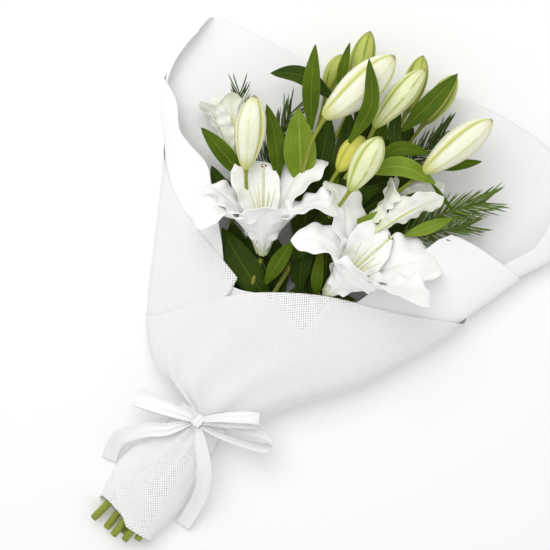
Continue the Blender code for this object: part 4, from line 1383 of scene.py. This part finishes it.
@dataclass(frozen=True)
class Leaf:
    """A lance-shaped leaf on a smooth line in millimetres, folded along its midrib."""

    name: str
    line: tuple[Point, ...]
    width: float
    green: Greens = Greens.DEEP
    lean: float = 0.0
    twist: float = 0.0
    fold: float = 0.22
    node: str = ""

    ROWS = 48
    COLUMNS = 17
    THICKNESS = 0.0006
    WAVE = 0.07
    CURL = 0.10
    SHAPE = ((0.0, 0.20), (0.12, 0.46), (0.30, 0.86), (0.48, 1.0), (0.68, 0.86), (0.85, 0.52),
             (0.95, 0.22), (1.0, 0.01))

    def build(self, palette: Palette) -> None:
        """Make and dress the leaf."""
        path = path_through(metres(self.line), self.ROWS)
        across, rise = sides_and_lifts(headings(path))
        share = np.linspace(0, 1, self.ROWS)
        span, face = rolled(across, rise, self.lean + self.twist * share)
        half = (self.width / 1000 / 2 * smooth(self.SHAPE, share))[:, None, None]
        t = np.linspace(-1, 1, self.COLUMNS)[None, :, None]
        seed = sum(ord(c) for c in self.name)
        sway = np.sin(share * math.tau * 2.2 + seed)[:, None, None]
        wave = self.WAVE * sway * t ** 2 * np.sign(t)
        dip = self.fold * (np.sqrt(t ** 2 + 0.01) - 0.1) + wave - self.CURL * t ** 4
        rows = path[:, None, :] + span[:, None, :] * half * t + face[:, None, :] * half * dip
        obj = Bench.cloth(self.name, rows)
        Bench.thicken(obj, self.THICKNESS)
        Bench.finish(obj, palette.leaf[self.green], "leaf", [self.node] if self.node else [])


@dataclass(frozen=True)
class Sprig:
    """A fir twig with needles all round its upper side, in millimetres."""

    name: str
    line: tuple[Point, ...]
    needles: int
    needle: float
    node: str
    seed: int
    fresh: bool = False

    ROWS = 40

    def build(self, palette: Palette) -> None:
        """Make the twig and its needles."""
        rng = random.Random(self.seed)
        path = path_through(metres(self.line), self.ROWS)
        direction = headings(path)
        across, lift = sides_and_lifts(direction)
        last = self.ROWS - 1
        radii = np.linspace(0.0013, 0.0006, self.ROWS)
        thin = smooth(((0, 0.0005), (0.2, 0.0008), (0.8, 0.0007), (1, 0.0001)),
                      np.linspace(0, 1, 6))
        parts = [Bench.cloth(self.name, tube_rows(path, radii, 8), closed=True)]
        for k in range(self.needles):
            at = int(last * (k + 0.5) / self.needles)
            side = -1 if k % 2 else 1
            fan = rng.uniform(-0.5, 1.1)
            forward = rng.uniform(1.1, 2.3) * (0.75 + 0.6 * at / last)
            out = unit(across[at] * side + lift[at] * fan + direction[at] * forward)
            reach = self.needle / 1000 * rng.uniform(0.8, 1.15)
            droop = np.array([0.0, 0.0, -reach * 0.10])
            line = [tuple(path[at]), tuple(path[at] + out * reach * 0.55),
                    tuple(path[at] + out * reach + direction[at] * reach * 0.12 + droop)]
            rows = tube_rows(path_through(line, len(thin)), thin, 5)
            parts.append(Bench.cloth(f"needle_{k}", rows, closed=True))
        obj = Bench.join(self.name, parts)
        Bench.cap(obj)
        Bench.finish(obj, palette.fresh_needle if self.fresh else palette.needle, "needle",
                     [self.node] if self.node else [])


DEEP, FRESH, DARK = Greens
NAMED_LEAVES = 9
SHOWN_FOLD = 0.3
# The leaves that show: name, green, width, three points along each, lean and twist. In millimetres
# and degrees; the first nine stand for the record's own leaves.
LEAF_ROWS = (
    ("tall_leaf", DEEP, 20, (-69, 163, 58), (-94, 199, 72), (-117, 239, 82), 0, 25),
    ("level_leaf", DARK, 20, (-65, 206, 52), (-111, 206, 57), (-141, 188, 60), 0, -10),
    ("bright_leaf", FRESH, 36, (-43, 107, 46), (-66, 138, 54), (-94, 174, 60), 0, 10),
    ("left_leaf", DEEP, 20, (-100, 77, 50), (-132, 87, 58), (-169, 96, 60), 0, 0),
    ("hooked_leaf", DEEP, 19, (-26, 171, 96), (-30, 214, 124), (-59, 251, 131), 10, 30),
    ("far_leaf", DEEP, 21, (13, 217, 72), (21, 257, 80), (27, 301, 82), 0, 0),
    ("right_leaf", FRESH, 22, (5, 157, 74), (35, 184, 80), (76, 191, 76), 0, 15),
    ("shaded_leaf", DARK, 34, (0, -17, 40), (-42, -3, 45), (-88, 19, 45), 0, 0),
    ("collar_leaf", DEEP, 18, (-13, -4, 52), (-15, 24, 58), (-15, 53, 60), 0, 0),
    ("leaf_by_bud", DEEP, 20, (-66, 96, 50), (-93, 130, 54), (-125, 158, 58), 0, -20),
    ("curled_leaf", DEEP, 12, (-68, 213, 62), (-78, 237, 70), (-88, 263, 74), 0, 40),
    ("second_tall_leaf", DARK, 15, (25, 193, 70), (7, 211, 72), (-3, 236, 74), 0, 0),
    ("leaf_over_right", DEEP, 17, (10, 166, 70), (21, 198, 74), (52, 215, 70), 0, 0),
    ("low_right_leaf", DEEP, 11, (72, 208, 60), (87, 225, 58), (105, 243, 52), 0, 0),
    ("leaf_between", FRESH, 14, (28, 108, 62), (45, 124, 64), (55, 147, 64), 0, 0),
    ("dark_between", DARK, 15, (53, 143, 66), (67, 164, 68), (85, 182, 66), 0, 0),
    ("leaf_by_sprig", FRESH, 14, (82, 127, 52), (98, 149, 54), (115, 174, 52), 0, 0),
    ("shaded_leaf_2", DARK, 24, (-3, -14, 34), (-30, 2, 38), (-60, 28, 38), 15, 0),
    ("shaded_leaf_3", DARK, 24, (24, 10, 30), (6, 39, 34), (0, 75, 34), 0, 0),
    ("upright_leaf", DEEP, 14, (42, 15, 46), (29, 36, 52), (14, 66, 54), 20, 0),
    ("leaf_under_a", DARK, 18, (-12, 26, 44), (-3, 52, 46), (9, 73, 44), 0, 0),
    ("leaf_gap", DARK, 18, (1, 65, 40), (-1, 88, 44), (-1, 118, 46), 0, 0),
    ("leaf_gap_2", DEEP, 12, (-8, 94, 50), (-13, 119, 54), (-21, 151, 56), 0, 0),
    ("leaf_gap_3", DARK, 18, (-8, 113, 44), (-2, 138, 48), (10, 157, 48), 0, 0),
    ("back_leaf_1", DARK, 28, (-23, 109, 30), (-42, 147, 34), (-61, 190, 36), 0, 0),
    ("back_leaf_2", DARK, 26, (-17, 126, 34), (-24, 167, 38), (-46, 206, 40), 0, 0),
    ("back_leaf_3", DEEP, 24, (-4, 135, 36), (0, 184, 40), (-18, 233, 42), 0, 0),
    ("back_leaf_4", DARK, 24, (0, 145, 40), (15, 185, 42), (20, 235, 42), 0, 0),
    ("back_leaf_5", DARK, 24, (4, 136, 34), (32, 166, 36), (64, 202, 36), 0, 0),
    ("back_leaf_6", DARK, 22, (-38, 98, 30), (-70, 125, 32), (-103, 145, 32), 0, 0),
    ("back_leaf_7", DARK, 18, (-91, 50, 30), (-114, 56, 34), (-138, 69, 34), 0, 0),
    ("back_leaf_8", DARK, 20, (-70, 70, 30), (-91, 85, 34), (-111, 109, 34), 0, 0),
    ("back_leaf_9", DARK, 16, (25, 117, 40), (19, 137, 44), (30, 158, 46), 0, 0),
    ("tucked_leaf", DEEP, 10, (44, 25, 28), (64, 31, 36), (80, 39, 36), 0, 0),
    ("thin_leaf", DEEP, 5, (70, 189, 76), (89, 184, 70), (113, 178, 60), 0, 0),
    ("ridge_leaf", DARK, 18, (-22, 182, 56), (-34, 211, 60), (-54, 227, 60), 0, 0),
)
# The leaves under them, in the green with painted shade, to fill the gaps: width and three points
# along each, in millimetres.
FILLER_ROWS = (
    (38, (-17, -29, 26), (-52, -2, 28), (-83, 31, 30)),
    (36, (11, -10, 24), (-21, 20, 26), (-53, 47, 28)),
    (36, (35, 7, 24), (8, 41, 26), (-21, 75, 28)),
    (34, (53, 20, 24), (28, 55, 26), (5, 96, 28)),
    (34, (-3, 49, 26), (-22, 88, 28), (-40, 129, 30)),
    (34, (9, 82, 28), (5, 120, 30), (3, 165, 32)),
    (32, (22, 99, 28), (33, 134, 30), (54, 170, 32)),
    (28, (45, 102, 28), (66, 130, 30), (89, 162, 32)),
    (30, (-31, 89, 26), (-52, 127, 28), (-69, 166, 30)),
    (30, (-15, 136, 28), (-17, 186, 30), (-23, 225, 32)),
    (28, (19, 166, 28), (19, 201, 30), (23, 233, 32)),
    (26, (-78, 46, 26), (-104, 52, 28), (-132, 65, 30)),
    (28, (-48, 67, 26), (-68, 102, 28), (-92, 137, 30)),
    (34, (39, -31, 24), (29, -5, 28), (19, 18, 30)),
)


def make_leaves() -> list[Leaf]:
    """Every leaf of the bunch: the ones that show, then the ones that fill the gaps."""
    leaves = []
    for number, (name, green, width, *line, lean, twist) in enumerate(LEAF_ROWS, 1):
        node = f"leaf_{number}" if number <= NAMED_LEAVES else ""
        leaves.append(Leaf(name, tuple(line), width, green, lean, twist, SHOWN_FOLD, node))
    # The fillers take the green with painted shade, where the gaps between the flowers lie in
    # shade.
    for number, (width, *line) in enumerate(FILLER_ROWS, 1):
        leaves.append(Leaf(f"filler_{number}", tuple(line), width, DARK))
    return leaves


@dataclass
class Bunch:
    """Everything that grows: flowers, buds, leaves and sprigs, in their places."""

    lilies: tuple[Lily, ...] = (
        Lily("a", (-34.5, 21, 48), 34, 28, (
            Tepal(4, 1, 56, ((4, 2), (14, 24), (25, 48), (33, 68), (42, 78)), 2.2),
            Tepal(76, 0, 56, ((4, 2), (14, 24), (28, 46), (48, 64), (70, 70), (84, 58)), 3.4),
            Tepal(138, 1, 64, ((4, 2), (14, 28), (30, 56), (54, 80), (78, 92), (96, 82)), 3.4),
            Tepal(200, 0, 56, ((4, 2), (12, 30), (22, 58), (36, 80), (50, 90), (56, 84)), 3.6),
            Tepal(254, 1, 52, ((4, 2), (14, 28), (30, 54), (50, 70), (67, 74)), 3),
            Tepal(300, 0, 60, ((4, 2), (14, 24), (28, 46), (48, 62), (69, 64), (81, 50)), 3.4))),
        Lily("b", (48, 24, 48), -12, 35, (
            Tepal(10, 1, 54, ((4, 2), (14, 28), (26, 54), (36, 76), (47, 86)), 3.4),
            Tepal(76, 0, 62, ((4, 2), (14, 28), (28, 54), (46, 80), (66, 96), (84, 99)), 4.2),
            Tepal(140, 1, 64, ((4, 2), (14, 32), (32, 60), (58, 84), (82, 96), (98, 90)), 4),
            Tepal(196, 0, 52, ((4, 2), (12, 30), (24, 60), (40, 82), (52, 88)), 3),
            Tepal(246, 1, 58, ((4, 2), (14, 32), (30, 60), (54, 78), (80, 86), (101, 76)), 3.4),
            Tepal(300, 0, 52, ((4, 2), (12, 28), (22, 50), (40, 62), (62, 59), (80, 42)), 3)),
             style=110),
        Lily("c", (43, 99, 56), -16, 4, (
            Tepal(285, 0, 44, ((4, 2), (10, 22), (14, 42), (20, 58), (30, 66)), 3),
            Tepal(40, 1, 36, ((4, 2), (10, 28), (16, 56), (24, 80), (34, 96)), 2.4),
            Tepal(150, 0, 36, ((4, 2), (9, 30), (14, 62), (20, 88), (26, 108)), 2.4),
            Tepal(215, 1, 36, ((4, 2), (10, 24), (16, 46), (26, 66), (38, 78)))),
             has_pistil=False, young=True),
    )
    buds: tuple[Bud, ...] = (
        Bud("bud_of_left_stem", "bud_left", (-102, 86, 72), (-138, 155, 94), 32,
            ((-78, 60, 40), (-90, 70, 62)), BudKind.CREAM, 30),
        Bud("bud_broad", "bud_wide", (-64, 179, 86), (-39, 273, 106), 40,
            ((-50, 120, 50), (-60, 150, 74)), BudKind.CREAM, 0, 2),
        Bud("bud_far_left", "bud_top_1", (-54, 219, 42), (-78, 290, 52), 27,
            ((-40, 150, 30), (-46, 196, 37)), BudKind.GREEN, 20),
        Bud("bud_far_small", "bud_top_2", (-80, 208, 28), (-90, 254, 34), 23,
            ((-60, 160, 22), (-72, 190, 26)), BudKind.GREEN, 50),
        Bud("bud_pale_green", "bud_green", (-14, 201.6, 84), (-5, 282.6, 92), 27,
            ((-8, 140, 60), (-10, 180, 78)), BudKind.FRESH, 10),
        Bud("bud_far_middle", "bud_top_3", (6, 240, 44), (-15, 301, 54), 25,
            ((10, 170, 30), (10, 216, 40)), BudKind.GREEN, 15),
        Bud("bud_far_right", "bud_top_4", (29, 242, 42), (27, 305, 50), 26,
            ((26, 170, 26), (28, 216, 36)), BudKind.GREEN, 40),
        Bud("bud_behind", "bud_yellow", (-19, 143, 60), (-17, 189, 70), 26,
            ((-14, 100, 45), (-18, 128, 56)), BudKind.YELLOW, 0),
        Bud("bud_centre", "bud_middle", (4, 130, 94), (-2, 194, 112), 30,
            ((2, 96, 60), (4, 114, 84)), BudKind.FRESH, 5),
        Bud("bud_of_right_stem", "bud_right", (58, 193, 76), (86, 281, 84), 34,
            ((40, 130, 50), (50, 168, 68)), BudKind.CREAM, 0),
    )
    sprigs: tuple[Sprig, ...] = (
        Sprig("fir_sprig_left", ((-78, 86, 34), (-93, 129, 40), (-99, 168, 44)), 72, 27,
              "needle_sprig_left", 3),
        Sprig("fir_sprig_behind_bud", ((-117, 106, 30), (-143, 133, 34), (-159, 154, 38)),
              40, 22, "", 4),
        Sprig("fir_sprig_top", ((35, 181, 36), (46, 218, 40), (54, 248, 42)), 66, 26,
              "needle_sprig_top", 5),
        Sprig("fir_sprig_right", ((80, 131, 40), (107, 177, 44), (135, 210, 42)), 90, 30,
              "needle_sprig_right", 7, True),
        Sprig("fir_sprig_low_right", ((92, 131, 32), (117, 160, 34), (137, 180, 32)),
              50, 24, "", 9, True),
    )

    def build(self, palette: Palette) -> None:
        """Make every part in order."""
        for part in (*self.lilies, *self.buds, *make_leaves(), *self.sprigs):
            part.build(palette)
        Trumpet().build(palette)


# ---- stage -------------------------------------------------------------------

@dataclass
class Studio:
    """Pale floor, soft lights and the camera that looks straight down."""

    turn: float = 35.0
    centre: tuple[float, float] = (-0.010, 0.010)
    height: float = 1.5
    view_width: float = 0.627
    sensor: float = 36.0
    key_place: Point = (-0.82, 0.50, 1.75)
    key_size: float = 1.5
    key_power: float = 17.0
    fill: float = 0.72
    floor_size: float = 12.0
    floor_level: float = -0.0005

    def build(self) -> None:
        """Make the floor, the lights and the camera."""
        Bench.pick()
        bpy.ops.mesh.primitive_plane_add(size=self.floor_size, location=(0, 0, self.floor_level))
        floor = bpy.context.object
        floor.name = "floor"
        dye = Dye("floor")
        dye.even("Roughness", 0.9)
        dye.even("Base Color", (0.98, 0.98, 0.98, 1.0))
        floor.data.materials.append(dye.material)
        world = bpy.data.worlds.new("studio")
        bpy.context.scene.world = world
        world.use_nodes = True
        backdrop = world.node_tree.nodes["Background"]
        backdrop.inputs["Color"].default_value = (1.0, 1.0, 1.0, 1.0)
        backdrop.inputs["Strength"].default_value = self.fill
        self.lamp("key", self.key_place, self.key_size, self.key_power)
        camera = bpy.data.cameras.new("camera")
        camera.sensor_width = self.sensor
        camera.lens = self.sensor * self.height / self.view_width
        camera.clip_end = 50.0
        seat = bpy.data.objects.new("camera", camera)
        seat.location = (*self.centre, self.height)
        seat.rotation_euler = (0.0, 0.0, math.radians(self.turn))
        bpy.context.collection.objects.link(seat)
        bpy.context.scene.camera = seat
        bpy.context.scene.view_settings.view_transform = "Standard"

    def lamp(self, name: str, place: Point, size: float, power: float) -> None:
        """A square soft light that points at the bunch."""
        light = bpy.data.lights.new(name, "AREA")
        light.size = size
        light.energy = power
        seat = bpy.data.objects.new(name, light)
        seat.location = place
        seat.rotation_euler = (-Vector(place)).to_track_quat("-Z", "Y").to_euler()
        bpy.context.collection.objects.link(seat)


def main() -> None:
    """Build the bunch in its wrap, and the studio round it."""
    logging.basicConfig(level=logging.INFO)
    palette = Palette()
    wrap = Wrap()
    wrap.build(palette)
    Ribbon(wrap).build(palette)
    Stems().build(palette)
    Bunch().build(palette)
    Studio().build()


if __name__ == "__main__":
    main()
